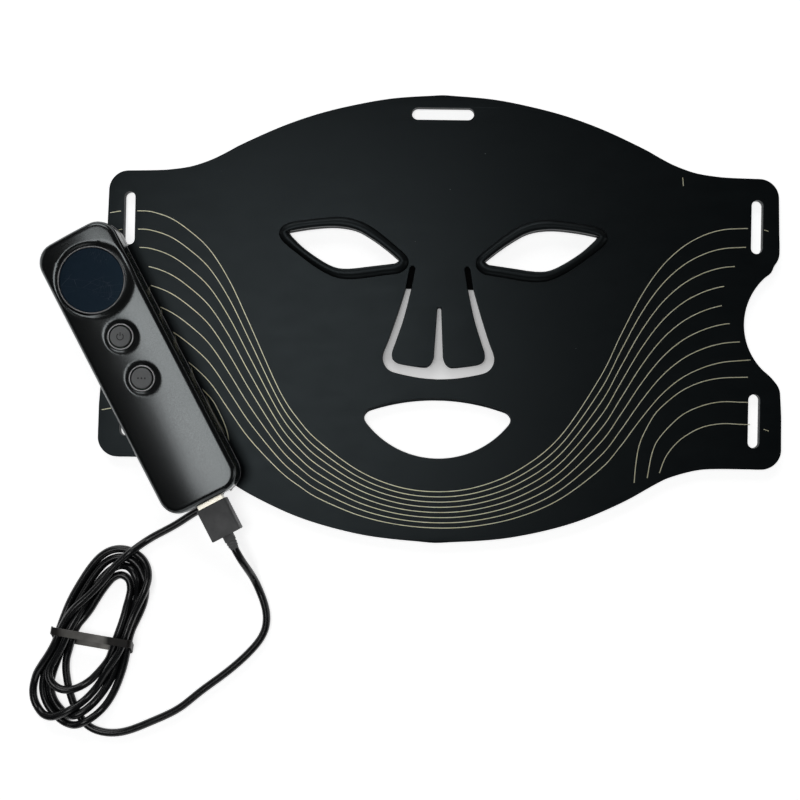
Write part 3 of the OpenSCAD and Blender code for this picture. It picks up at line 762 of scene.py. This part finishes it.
def shell_top(x, y, inset):
    """Height of the top shell: crowned across, rolled over at its edge, dished at the display and buttons."""
    s = min(inset, EDGE_R)
    z = TOP_Z - (EDGE_R - math.sqrt(max(EDGE_R * EDGE_R - (EDGE_R - s) ** 2, 0)))
    z -= 2.4 * ((x - 5.4) / 23.5) ** 2 + 0.3 * (abs(y) / 66.4) ** 6
    # each dish falls steeply on the side of the long edge at -x and gently on the other
    for centre, rim, depth, steep, gentle in ((DISPLAY_Y, 14.9, 1.15, 2.1, 3.2), (POWER_Y, 5.9, 0.8, 1.5, 1.5),
                                              (MODE_Y, 5.9, 0.8, 1.5, 1.5)):
        away = math.hypot(x, y - centre)
        facing = max((0.86 * x - 0.5 * (y - centre)) / max(away, 0.1), 0)
        z -= depth * (1 - step((away - rim) / (steep + gentle * facing)))
    return z


def at_inset(s, z=None):
    """The controller's outline moved inwards by s, at height z or else on the top shell."""
    return [(x, y, shell_top(x, y, s) if z is None else z)
            for x, y in ring_points(CTL_W - 2 * s, CTL_L - 2 * s, CTL_R - s)]


def open_ends(shell):
    """Cuts a shell's openings for the plug and for the charge port, and smooths it."""
    for low, high in (((-6.65, CTL_END - 2, 8.1), (6.65, CTL_END + 18, 13.9)),
                      ((-5.1, -CTL_END - 9, 8.8), (5.1, -CTL_END + 3, 13.2))):
        boolean(shell, ctl_box(low, high))
    return smooth(shell, 42)


def top_shell():
    rings = [at_inset(0, SEAM_Z + 0.2), at_inset(0, SEAM_Z + 0.5)]
    rings += [at_inset(s) for s in (0.0, 0.04, 0.14, 0.3, 0.5, 0.76, 1.05, 1.4, 1.8, 2.2, EDGE_R)]
    rings += [at_inset(EDGE_R + 0.55 * k) for k in range(1, 29)]
    # the last ring folds onto the middle line
    rings.append([(0, y, shell_top(0, y, CTL_W / 2)) for x, y, z in rings[-1]])
    bm = loft(rings, cap_end=False)
    bmesh.ops.remove_doubles(bm, verts=bm.verts, dist=2e-6)
    bmesh.ops.dissolve_degenerate(bm, edges=bm.edges, dist=1e-6)
    bmesh.ops.recalc_face_normals(bm, faces=bm.faces)
    obj = ctl_object("top_cover", bm)
    cavity = [[(x, y, z) for x, y in ring_points(CTL_W - 4.6, CTL_L - 4.6, CTL_R - 1.8)] for z in (9, 17.6)]
    boolean(obj, ctl_object("cutter", loft(cavity)))
    for y, r in ((DISPLAY_Y, 15.1), (POWER_Y, 6.0), (MODE_Y, 6.0)):
        boolean(obj, ctl_object("cutter", lathe([(0, 8), (r, 8), (r, 26), (0, 26)], (0, y))))
    return open_ends(obj)


def bottom_shell():
    rings = [at_inset(0.25, SEAM_Z - 0.2), at_inset(0.08, SEAM_Z - 0.27), at_inset(0, SEAM_Z - 0.45), at_inset(0, 7.0)]
    for k in range(1, 11):
        a = math.radians(9 * k)
        rings.append(at_inset(3.0 * (1 - math.cos(a)), 7.0 - 3.0 * math.sin(a)))
    rings.append(at_inset(3.4, LOW_Z))
    obj = ctl_object("bottom_cover", loft(rings))
    boolean(obj, ctl_object("cutter", loft([at_inset(2.3, z) for z in (LOW_Z + 1.8, 14)])))
    for x in (-12, 12):
        for y in (-54, 54):
            boolean(obj, ctl_object("cutter", lathe([(0, 2), (2, 2), (2, 5.9), (1, 5.9), (1, 9), (0, 9)], (x, y), 32)))
    return open_ends(obj)


def turned(name, profile, y, angle=40):
    return smooth(ctl_object(name, lathe(profile, (0, y))), angle)


cover_top = top_shell()
cover_bottom = bottom_shell()
display_ring = turned("display_ring", [(14.32, 18.62), (14.32, 19.75), (14.42, 19.98), (14.6, 20.08), (14.8, 20.08),
                                       (15.0, 19.95), (15.08, 19.7), (15.08, 18.62)], DISPLAY_Y)
display_disc = turned("display_disc", [(0, 18.92), (14.28, 18.92), (14.28, 19.6), (14.2, 19.72), (14.0, 19.79),
                                       (10, 19.8), (5, 19.8), (0, 19.8)], DISPLAY_Y)
RING_PROFILE = [(5.1, 18.42), (5.1, 20.1), (5.16, 20.26), (5.28, 20.34), (5.66, 20.36), (5.82, 20.28), (5.95, 20.0),
                (5.98, 18.42)]
bm = lathe(RING_PROFILE, (0, POWER_Y))
second = bpy.data.meshes.new("second_ring")
lathe(RING_PROFILE, (0, MODE_Y)).to_mesh(second)
bm.from_mesh(second)
button_bezels = smooth(ctl_object("button_bezels", bm), 40)
bpy.data.meshes.remove(second)


def cap_top(r):
    """The caps are slightly hollow."""
    return 20.66 + 0.2 * (r / 4.0) ** 2


def button(name, y):
    profile = [(0, 17.2), (1.7, 17.2), (1.7, 18.3), (4.45, 18.3), (4.58, 18.45), (4.6, 20.3), (4.52, 20.62),
               (4.3, 20.8), (4.0, 20.86)]
    return turned(name, profile + [(r, cap_top(r)) for r in (3.4, 2.6, 1.8, 0.9, 0)], y, 50)


power_cap = button("power_cap", POWER_Y)
mode_cap = button("mode_cap", MODE_Y)


def glyph(name, paths, y):
    """Raised strokes on a button cap, upright in the mask's frame."""
    bm = bmesh.new()
    c, s = math.cos(-CTL_TURN), math.sin(-CTL_TURN)
    for path in paths:
        sections = []
        for i, (px, py) in enumerate(path):
            n = sideways(path, i, 0.2)
            section = []
            for side, lift in ((1, -0.06), (1, 0.03), (0.6, 0.06), (-0.6, 0.06), (-1, 0.03), (-1, -0.06)):
                qx, qy = px + side * n[0], py + side * n[1]
                section.append((c * qx - s * qy, y + s * qx + c * qy, cap_top(math.hypot(qx, qy)) + lift))
            sections.append(section)
        strip(bm, sections)
    bmesh.ops.recalc_face_normals(bm, faces=bm.faces)
    return smooth(ctl_object(name, bm), 50, weighted=False)


def arc(radius, degrees, cx=0):
    return [(cx + radius * math.cos(math.radians(a)), radius * math.sin(math.radians(a))) for a in degrees]


power_mark = glyph("power_mark", [arc(1.45, range(125, 416, 10)), [(0, 0.35), (0, 1.2), (0, 1.95)]], POWER_Y)
mode_mark = glyph("mode_mark", [arc(0.2, range(0, 361, 30), cx) for cx in (-1.5, 0, 1.5)], MODE_Y)


# ---------------------------------------------------------------- plug
def grip_block():
    """The overmould: a block along the controller's length with rounded long edges and eased ends."""
    w, h, r, ease = 14.1, 7.6, 1.25, 0.45
    rings = []
    for inset, y in ((ease, PLUG_FACE), (ease * 0.3, PLUG_FACE - ease * 0.3), (0, PLUG_FACE - ease),
                     (0, GRIP_END + ease), (ease * 0.3, GRIP_END + ease * 0.3), (ease, GRIP_END)):
        ww, hh, rr = w - 2 * inset, h - 2 * inset, max(r - inset * 0.5, 0.2)
        ring = []
        for cx, cz, start in ((1, -1, -90), (1, 1, 0), (-1, 1, 90), (-1, -1, 180)):
            for k in range(7):
                a = math.radians(start + 15 * k)
                ring.append((cx * (ww / 2 - rr) + rr * math.cos(a), y, USB_Z + cz * (hh / 2 - rr) + rr * math.sin(a)))
        rings.append(ring)
    return ctl_object("plug_grip", loft(rings))


plug_grip = grip_block()
boolean(plug_grip, ctl_box((-6, PLUG_FACE - 1, USB_Z - 2.25), (6, PLUG_FACE + 2, USB_Z + 2.25)))
smooth(plug_grip, 40)

# the strain relief, as distance behind the grip and radius
RELIEF = ((-0.3, 2.6), (2.6, 2.6), (2.9, 2.5), (3.1, 2.25), (3.5, 2.25), (3.7, 2.42), (4.2, 2.38), (4.4, 2.15),
          (4.8, 2.13), (5.0, 2.28), (5.4, 2.22), (5.6, 2.05), (6.0, 1.95), (6.5, 1.83), (6.9, 1.76))
relief_rings = [[(x, GRIP_END - d, z) for x, z in circle(r, 40, (0, USB_Z))] for d, r in RELIEF]
cord_relief = smooth(ctl_object("cord_relief", loft(relief_rings)), 50)


# ---------------------------------------------------------------- materials
class Shader:
    """Principled material built from a few procedural layers, in object space."""

    def __init__(self, name, **sockets):
        self.mat = bpy.data.materials.new(name)
        self.mat.use_nodes = True
        self.tree = self.mat.node_tree
        self.bsdf = self.tree.nodes["Principled BSDF"]
        for key, value in sockets.items():
            socket = self.bsdf.inputs[key.replace("_", " ")]
            socket.default_value = (*value, 1) if socket.type == "RGBA" else value
        self.coords = self.tree.nodes.new("ShaderNodeTexCoord").outputs["Object"]
        self.height = None

    def node(self, kind, **values):
        node = self.tree.nodes.new("ShaderNode" + kind)
        for key, value in values.items():
            if hasattr(node, key):
                setattr(node, key, value)
            else:
                node.inputs[key.replace("_", " ")].default_value = value
        return node

    def link(self, a, b):
        self.tree.links.new(a, b)

    def mapped(self, scale=(1, 1, 1), turn=0.0):
        node = self.node("Mapping")
        node.inputs["Rotation"].default_value = (0, 0, turn)
        node.inputs["Scale"].default_value = scale
        self.link(self.coords, node.inputs["Vector"])
        return node.outputs["Vector"]

    def axis(self, i):
        split = self.node("SeparateXYZ")
        self.link(self.coords, split.inputs[0])
        return split.outputs[i]

    def noise(self, scale, detail=3.0, roughness=0.5, coords=None):
        node = self.node("TexNoise", Scale=scale, Detail=detail, Roughness=roughness)
        self.link(coords or self.coords, node.inputs["Vector"])
        return node.outputs["Fac"]

    def ranged(self, value, a, b, low=0.0, high=1.0):
        node = self.node("MapRange")
        node.clamp = True
        for i, v in enumerate((a, b, low, high), 1):
            node.inputs[i].default_value = v
        self.link(value, node.inputs[0])
        return node.outputs[0]

    def math(self, operation, a, b=None):
        node = self.node("Math")
        node.operation = operation
        for i, v in enumerate((a, b) if b is not None else (a,)):
            if isinstance(v, (int, float)):
                node.inputs[i].default_value = v
            else:
                self.link(v, node.inputs[i])
        return node.outputs[0]

    def share(self, a, part, b):
        """This part of a, and the rest of b."""
        return self.math("ADD", self.math("MULTIPLY", a, part), self.math("MULTIPLY", b, 1 - part))

    def mix(self, factor, a, b):
        node = self.node("Mix")
        node.data_type = "RGBA"
        self.link(factor, node.inputs[0])
        for socket, v in ((node.inputs[6], a), (node.inputs[7], b)):
            if isinstance(v, tuple):
                socket.default_value = (*v, 1)
            else:
                self.link(v, socket)
        return node.outputs[2]

    def colour(self, value):
        self.link(value, self.bsdf.inputs["Base Color"])

    def rough(self, value):
        self.link(value, self.bsdf.inputs["Roughness"])

    def add_height(self, value, amount_mm):
        scaled = self.math("MULTIPLY", value, amount_mm * MM)
        self.height = scaled if self.height is None else self.math("ADD", self.height, scaled)

    def done(self):
        if self.height is not None:
            bump = self.node("Bump")
            bump.inputs["Strength"].default_value = 1.0
            bump.inputs["Distance"].default_value = 1.0
            self.link(self.height, bump.inputs["Height"])
            self.link(bump.outputs["Normal"], self.bsdf.inputs["Normal"])
        return self.mat

    def specks(self, scale, size, part):
        """Sparse round specks: 1 in a speck, 0 elsewhere; size in cells, and the part of the cells that hold one."""
        cells = self.node("TexVoronoi", Scale=scale)
        self.link(self.coords, cells.inputs["Vector"])
        dot = self.ranged(cells.outputs["Distance"], size * 0.6, size, 1, 0)
        split = self.node("SeparateColor")
        self.link(cells.outputs["Color"], split.inputs[0])
        chosen = self.ranged(split.outputs[0], part, part + 0.001, 1, 0)
        return self.math("MULTIPLY", dot, chosen)

    def hairlines(self, scale, width, stretch, turn):
        """Fine scratches: the edges of long, thin cells, broken up by noise."""
        mapping = self.mapped(stretch, turn)
        cells = self.node("TexVoronoi", Scale=scale)
        cells.feature = "DISTANCE_TO_EDGE"
        warp = self.node("TexNoise", Scale=scale * 0.4, Detail=2.0)
        self.link(mapping, warp.inputs["Vector"])
        add = self.node("VectorMath")
        add.operation = "MULTIPLY_ADD"
        self.link(warp.outputs["Color"], add.inputs[0])
        add.inputs[1].default_value = (0.6 / scale,) * 3
        self.link(mapping, add.inputs[2])
        self.link(add.outputs[0], cells.inputs["Vector"])
        edge = self.ranged(cells.outputs["Distance"], 0.0, width, 1, 0)
        gate = self.ranged(self.noise(scale * 0.35, 2.0), 0.52, 0.62)
        return self.math("MULTIPLY", edge, gate)


def silicone(name, dark, pale, rough, dust, grain=0.006, specular=0.23):
    s = Shader(name, Specular_IOR_Level=specular, Specular_Tint=(0.84, 1.0, 1.06))
    cloud = s.noise(22, 4, 0.6)
    fine = s.noise(2600, 2, 0.6)
    wipe = s.noise(70, 4, 0.65, s.mapped((1, 2.4, 1), 0.5))
    body = s.mix(s.ranged(s.share(cloud, 0.6, wipe), 0.38, 0.64), dark, pale)
    speck = s.math("MAXIMUM", s.specks(95, 0.022, dust), s.specks(260, 0.05, dust * 0.5))
    s.colour(s.mix(s.math("MULTIPLY", speck, 0.75), body, (0.30, 0.31, 0.31)))
    s.rough(s.math("ADD", s.ranged(s.share(wipe, 0.5, fine), 0.35, 0.65, *rough), s.math("MULTIPLY", speck, 0.2)))
    s.add_height(fine, grain)
    s.add_height(s.noise(480, 2), grain * 0.8)
    s.add_height(speck, 0.02)
    return s.done()


def plastic(name, low, high, rough, grain=1800, depth=0.004, mottle=60, specks=0.0, **sockets):
    s = Shader(name, **sockets)
    fine = s.noise(grain, 3, 0.6)
    cloud = s.noise(mottle, 4, 0.6)
    body = s.mix(s.ranged(cloud, 0.35, 0.65), low, high)
    if specks:
        body = s.mix(s.math("MULTIPLY", s.specks(160, 0.035, specks), 0.6), body, (0.4, 0.4, 0.39))
    s.colour(body)
    s.rough(s.ranged(s.share(cloud, 0.5, fine), 0.35, 0.65, *rough))
    s.add_height(fine, depth)
    return s.done()


def metal(name, low, high, rough, brush=(1, 14, 1), turn=0.0, depth=0.002, scale=500, **sockets):
    s = Shader(name, Metallic=1.0, **sockets)
    lines = s.noise(scale, 4, 0.6, s.mapped(brush, turn))
    stain = s.noise(240, 4, 0.6)
    s.colour(s.mix(s.ranged(s.share(lines, 0.4, stain), 0.36, 0.64), low, high))
    s.rough(s.ranged(s.share(lines, 0.6, stain), 0.35, 0.65, *rough))
    s.add_height(lines, depth)
    return s.done()


def cover_material():
    """Satin painted cover: a fine metallic flake under a soft sheen, a little dust."""
    s = Shader("cover_satin", Metallic=1.0)
    flake = s.noise(2600, 2, 0.7)
    cloud = s.noise(35, 3, 0.5)
    body = s.mix(s.ranged(flake, 0.3, 0.7), (0.078, 0.084, 0.085), (0.116, 0.124, 0.126))
    speck = s.specks(150, 0.03, 0.12)
    s.colour(s.mix(s.math("MULTIPLY", speck, 0.5), body, (0.35, 0.35, 0.35)))
    s.rough(s.ranged(s.share(flake, 0.5, cloud), 0.35, 0.65, 0.20, 0.25))
    s.add_height(flake, 0.0016)
    s.add_height(s.noise(900, 2), 0.002)
    return s.done()


def lens_material():
    """Dark navy window under a scuffed protective film."""
    s = Shader("display_film", Specular_IOR_Level=0.16, Specular_Tint=(0.45, 0.75, 1.0))
    cloud = s.noise(130, 4, 0.6)
    scuff = s.math("MAXIMUM", s.hairlines(160, 0.02, (1, 2.5, 1), 0.4), s.hairlines(260, 0.03, (3, 1, 1), 1.2))
    speck = s.specks(520, 0.06, 0.35)
    body = s.mix(s.ranged(cloud, 0.35, 0.65), (0.004, 0.010, 0.020), (0.009, 0.017, 0.032))
    marks = s.math("MULTIPLY", s.math("MAXIMUM", scuff, s.math("MULTIPLY", speck, 0.6)), 0.5)
    s.colour(s.mix(marks, body, (0.12, 0.14, 0.18)))
    s.rough(s.ranged(s.math("ADD", cloud, s.math("MULTIPLY", scuff, 0.5)), 0.3, 0.9, 0.28, 0.5))
    s.add_height(cloud, 0.02)
    s.add_height(scuff, 0.01)
    return s.done()


def tie_material():
    """Vinyl band with a painted highlight where it spans the open middle of the coil, stronger towards +x."""
    s = Shader("tie_vinyl", Specular_IOR_Level=0.3)
    x = s.axis(0)
    # painted highlight: the band is made paler between the bundles, more so towards +x
    painted_highlight = s.math("MULTIPLY", s.ranged(x, -0.1690, -0.1665), s.ranged(x, -0.1480, -0.1455, 1, 0))
    painted_highlight = s.math("MULTIPLY", painted_highlight, s.ranged(x, -0.1670, -0.1500, 0.4, 1.0))
    fine = s.noise(1600, 3, 0.6)
    body = s.mix(painted_highlight, (0.010, 0.0095, 0.009), (0.36, 0.35, 0.33))
    s.colour(s.mix(s.ranged(s.noise(200, 4, 0.6), 0.35, 0.65, 0, 0.35), body, (0.030, 0.025, 0.020)))
    s.rough(s.ranged(fine, 0.35, 0.65, 0.36, 0.48))
    s.add_height(fine, 0.006)
    return s.done()


def board_material(name, low, high, line, rough):
    """Circuit board: solder mask with copper tracks under it and small pads."""
    s = Shader(name, Specular_IOR_Level=0.5)
    cells = s.node("TexVoronoi", Scale=240.0)
    cells.distance = "MANHATTAN"
    cells.feature = "F2"
    s.link(s.coords, cells.inputs["Vector"])
    tracks = s.ranged(s.math("FRACT", s.math("MULTIPLY", cells.outputs["Distance"], 3.0)), 0.42, 0.5)
    pads = s.specks(520, 0.16, 0.3)
    body = s.mix(s.ranged(s.noise(90, 3), 0.35, 0.65), low, high)
    body = s.mix(s.math("MULTIPLY", tracks, 0.35), body, line)
    s.colour(s.mix(pads, body, (0.55, 0.42, 0.22)))
    s.rough(s.ranged(s.noise(700, 2), 0.3, 0.7, *rough))
    s.add_height(tracks, 0.01)
    s.add_height(pads, 0.02)
    return s.done()


M = {
    "panel": silicone("face_silicone", (0.0034, 0.0046, 0.0054), (0.0046, 0.0060, 0.0068), (0.31, 0.37), 0.10),
    "back": silicone("back_silicone", (0.0050, 0.0060, 0.0066), (0.0070, 0.0080, 0.0086), (0.4, 0.5), 0.16,
                     grain=0.009),
    "rim": silicone("bead_silicone", (0.0048, 0.0056, 0.0060), (0.0070, 0.0080, 0.0084), (0.36, 0.44), 0.35,
                    grain=0.010, specular=0.26),
    "print": plastic("champagne_print", (0.97, 0.93, 0.62), (1.0, 0.99, 0.76), (0.34, 0.44), 3000, 0.002, 400,
                     Metallic=0.35),
    "cord": plastic("cord_vinyl", (0.004, 0.0045, 0.0055), (0.006, 0.0068, 0.008), (0.23, 0.31), 1500, 0.0008, 120,
                    0.12, Specular_IOR_Level=0.62),
    "tie": tie_material(),
    "grip": plastic("grip_texture", (0.135, 0.137, 0.140), (0.190, 0.192, 0.195), (0.5, 0.62), 1500, 0.03, 150, 0.2,
                    Specular_IOR_Level=0.25),
    "steel": metal("plug_steel", (0.42, 0.40, 0.34), (0.66, 0.63, 0.56), (0.18, 0.32)),
    "insulator": plastic("white_insulator", (0.62, 0.61, 0.57), (0.72, 0.71, 0.67), (0.4, 0.5)),
    "gold": metal("contact_plate", (0.72, 0.50, 0.20), (0.90, 0.68, 0.32), (0.18, 0.3)),
    "cover": cover_material(),
    "gloss": plastic("gloss_black", (0.0045, 0.0047, 0.0052), (0.0065, 0.0068, 0.0072), (0.12, 0.18), 900, 0.0002,
                     90, 0.0, Specular_IOR_Level=0.22),
    "trim": metal("seam_metal", (0.22, 0.22, 0.225), (0.28, 0.28, 0.285), (0.26, 0.34), (1, 1, 1), 0.0, 0.0004, 900),
    "ring": metal("ring_metal", (0.30, 0.30, 0.305), (0.36, 0.36, 0.365), (0.32, 0.42), (1, 1, 1), 0.0, 0.0006, 900),
    "lens": lens_material(),
    # near-black sheet for the blind slots above the flap: painted shade
    "shade_black": plastic("slot_black", (0.0008, 0.0008, 0.0009), (0.0014, 0.0014, 0.0015), (0.6, 0.8), 1500, 0.004, 90,
                    Specular_IOR_Level=0.05),
    "black": plastic("component_black", (0.018, 0.018, 0.019), (0.03, 0.03, 0.031), (0.35, 0.5)),
    "board": board_material("board_green", (0.010, 0.075, 0.030), (0.014, 0.10, 0.042), (0.03, 0.20, 0.08),
                            (0.3, 0.4)),
    "flex": board_material("flex_amber", (0.30, 0.13, 0.025), (0.40, 0.18, 0.04), (0.55, 0.30, 0.10), (0.3, 0.42)),
    "battery": metal("battery_foil", (0.42, 0.45, 0.48), (0.60, 0.63, 0.66), (0.28, 0.42), (1, 1, 1), 0.4, 0.01, 160),
    "screw": metal("screw_metal", (0.35, 0.35, 0.35), (0.55, 0.55, 0.54), (0.25, 0.4)),
    "button": plastic("button_grey", (0.20, 0.206, 0.210), (0.25, 0.256, 0.260), (0.42, 0.52), 2600, 0.003, 90, 0.1,
                      Specular_IOR_Level=0.25),
    "mark": plastic("mark_grey", (0.022, 0.023, 0.024), (0.03, 0.031, 0.032), (0.45, 0.55)),
    "chip": plastic("lamp_ceramic", (0.72, 0.64, 0.40), (0.86, 0.80, 0.62), (0.3, 0.45), 1200, 0.01, 700),
    "window": plastic("clear_silicone_window", (0.80, 0.82, 0.84), (0.92, 0.93, 0.94), (0.18, 0.3), 900, 0.01, 200,
                      Transmission_Weight=0.92, IOR=1.41),
}


def dress(obj, material, slot, *nodes, body=None):
    obj.data.materials.clear()
    obj.data.materials.append(M[material])
    if nodes:
        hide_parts(*nodes)
    if body:
        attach(obj, body)
    return obj


# the body, and where the bend starts and ends
HINGE = {"left": ("left_wing", (-0.101, 0, 0), (-0.131, 0, 0)),
         "right": ("right_wing", (0.101, 0, 0), (0.131, 0, 0))}
FLAP = ("nose_flap", (0, 0.0134, 0), (0, 0.003, 0))


def bend(obj, body, start, end):
    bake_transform(obj)


dress(panel_front, "panel", "panel_silicone", "front_skin", body="mask")
dress(panel_back, "back", "back_silicone", "back_skin", body="mask")
for word, (front, back) in wings.items():
    bend(dress(front, "panel", "panel_silicone", f"front_skin_{word}_wing"), *HINGE[word])
    bend(dress(back, "back", "back_silicone", f"back_skin_{word}_wing"), *HINGE[word])
    bend(dress(print_wing[word], "print", "contact_gold"), *HINGE[word])
    for (obj, node), look_of, slot in zip(wing_parts[word], ("flex", "chip", "window"),
                                          ("flex_board", "lamp_chip", "clear_silicone")):
        bend(dress(obj, look_of, slot, node), *HINGE[word])
bend(dress(flap_front, "panel", "panel_silicone", "nose_flap_front"), *FLAP)
bend(dress(flap_back, "back", "back_silicone", "nose_flap_back"), *FLAP)
bend(dress(nose_board, "flex", "flex_board", "led_board_nose"), *FLAP)
# the near-black sheet in the slots is painted shade
dress(slot_shade_sheet, "shade_black", "panel_silicone", body="mask")
dress(print_centre, "print", "contact_gold", body="mask")
for obj, node in zip(rims, ("eye_rim_left", "eye_rim_right")):
    dress(obj, "rim", "rim_silicone", node, body="mask")

dress(cover_top, "cover", "shell_matt", "controller_top_shell", body="controller")
dress(cover_bottom, "gloss", "shell_gloss", "controller_bottom_shell", body="controller")
dress(display_ring, "trim", "bright_trim", "display_bezel", body="controller")
dress(display_disc, "lens", "display_lens", "display_window", body="controller")
dress(button_bezels, "ring", "bright_trim", "button_rings", body="controller")
dress(power_cap, "button", "button_plastic", "power_button", body="power_button")
dress(mode_cap, "button", "button_plastic", "mode_button", body="mode_button")
dress(power_mark, "mark", "button_plastic", body="power_button")
dress(mode_mark, "mark", "button_plastic", body="mode_button")
dress(plug_grip, "grip", "plug_overmould", "plug_body", body="mask")
dress(cord_relief, "grip", "plug_overmould", "plug_strain_relief", body="mask")
dress(cord, "cord", "cord_jacket", "cord_lead", "cord_tail", "cord_hank", body="mask")
dress(tie, "tie", "tie_strap", "cord_tie", body="mask")
smooth(tie, 40, weighted=False)

# the CAD pieces that stay as they are
KEPT = {
    "flex": "led_board_forehead led_board_left_cheek led_board_right_cheek led_board_chin bus_ribbon",
    "chip": "led_chips_upper led_chips_cheeks led_chips_chin led_chips_nose",
    "window": "led_windows_upper led_windows_cheeks led_windows_chin led_windows_nose",
    "cord": "cable_gland", "trim": "seam_trim", "black": "display_module tact_switches", "board": "controller_board",
    "battery": "battery", "steel": "usb_socket_shell charge_port plug_shell", "screw": "shell_screws",
    "insulator": "usb_socket_tongue plug_tongue", "gold": "usb_socket_contacts plug_contacts",
}
for look_of, nodes in KEPT.items():
    for node in nodes.split():
        mesh = NODES[node].data
        if not mesh.materials:
            mesh.materials.append(M[look_of])
        for i in range(len(mesh.materials)):
            mesh.materials[i] = M[look_of]


# ---------------------------------------------------------------- stage and light
bm = bmesh.new()
bmesh.ops.create_grid(bm, x_segments=8, y_segments=8, size=3.0)
floor = from_bm("floor", bm)
floor.location.z = -0.0003
s = Shader("floor_white", Specular_IOR_Level=0.1, Roughness=0.9, Emission_Color=(1.0, 1.0, 1.0))
# the floor glows softly and evenly, but less in a patch under the nose flap, more so towards its top: a painted shadow
# seen through the nose gap
away = s.node("VectorMath")
away.operation = "DISTANCE"
s.link(s.mapped((1, 1.15, 1)), away.inputs[0])
away.inputs[1].default_value = (0, -0.0092, 0)
shade = s.ranged(s.axis(1), -0.030, -0.018, 0.22, 0.54)
shade = s.math("MULTIPLY", shade, s.ranged(away.outputs["Value"], 0.0303, 0.0318, 1, 0))
s.link(s.math("SUBTRACT", 0.77, shade), s.bsdf.inputs["Emission Strength"])
s.colour(s.mix(s.ranged(s.noise(3, 3), 0.3, 0.7), (0.86, 0.865, 0.87), (0.90, 0.90, 0.90)))
floor.data.materials.append(s.done())

world = bpy.data.worlds.new("studio")
bpy.context.scene.world = world
world.use_nodes = True
background = world.node_tree.nodes["Background"]
background.inputs["Color"].default_value = (0.97, 0.985, 1.0, 1)
background.inputs["Strength"].default_value = 0.03


def softbox(name, eye, target, size, power):
    light = bpy.data.objects.new(name, bpy.data.lights.new(name, "AREA"))
    bpy.context.scene.collection.objects.link(light)
    light.data.shape = "RECTANGLE"
    light.data.size, light.data.size_y = size
    light.data.energy = power
    look(light, at(*eye), at(*target))


softbox("overhead", (-330, 30, 1500), (-280, 30, 0), (0.62, 0.75), 4.0)
softbox("key", (-400, 1700, 1050), (0, 0, 0), (1.5, 0.8), 8)
softbox("fill_right", (2000, -200, 800), (0, 0, 0), (1.4, 0.9), 2.5)
softbox("fill_low", (-100, -2000, 800), (0, 0, 0), (1.4, 0.9), 2.5)
softbox("fill_left", (-2100, 300, 500), (0, 0, 0), (1.2, 0.6), 1.5)
bpy.context.scene.view_settings.view_transform = "Standard"
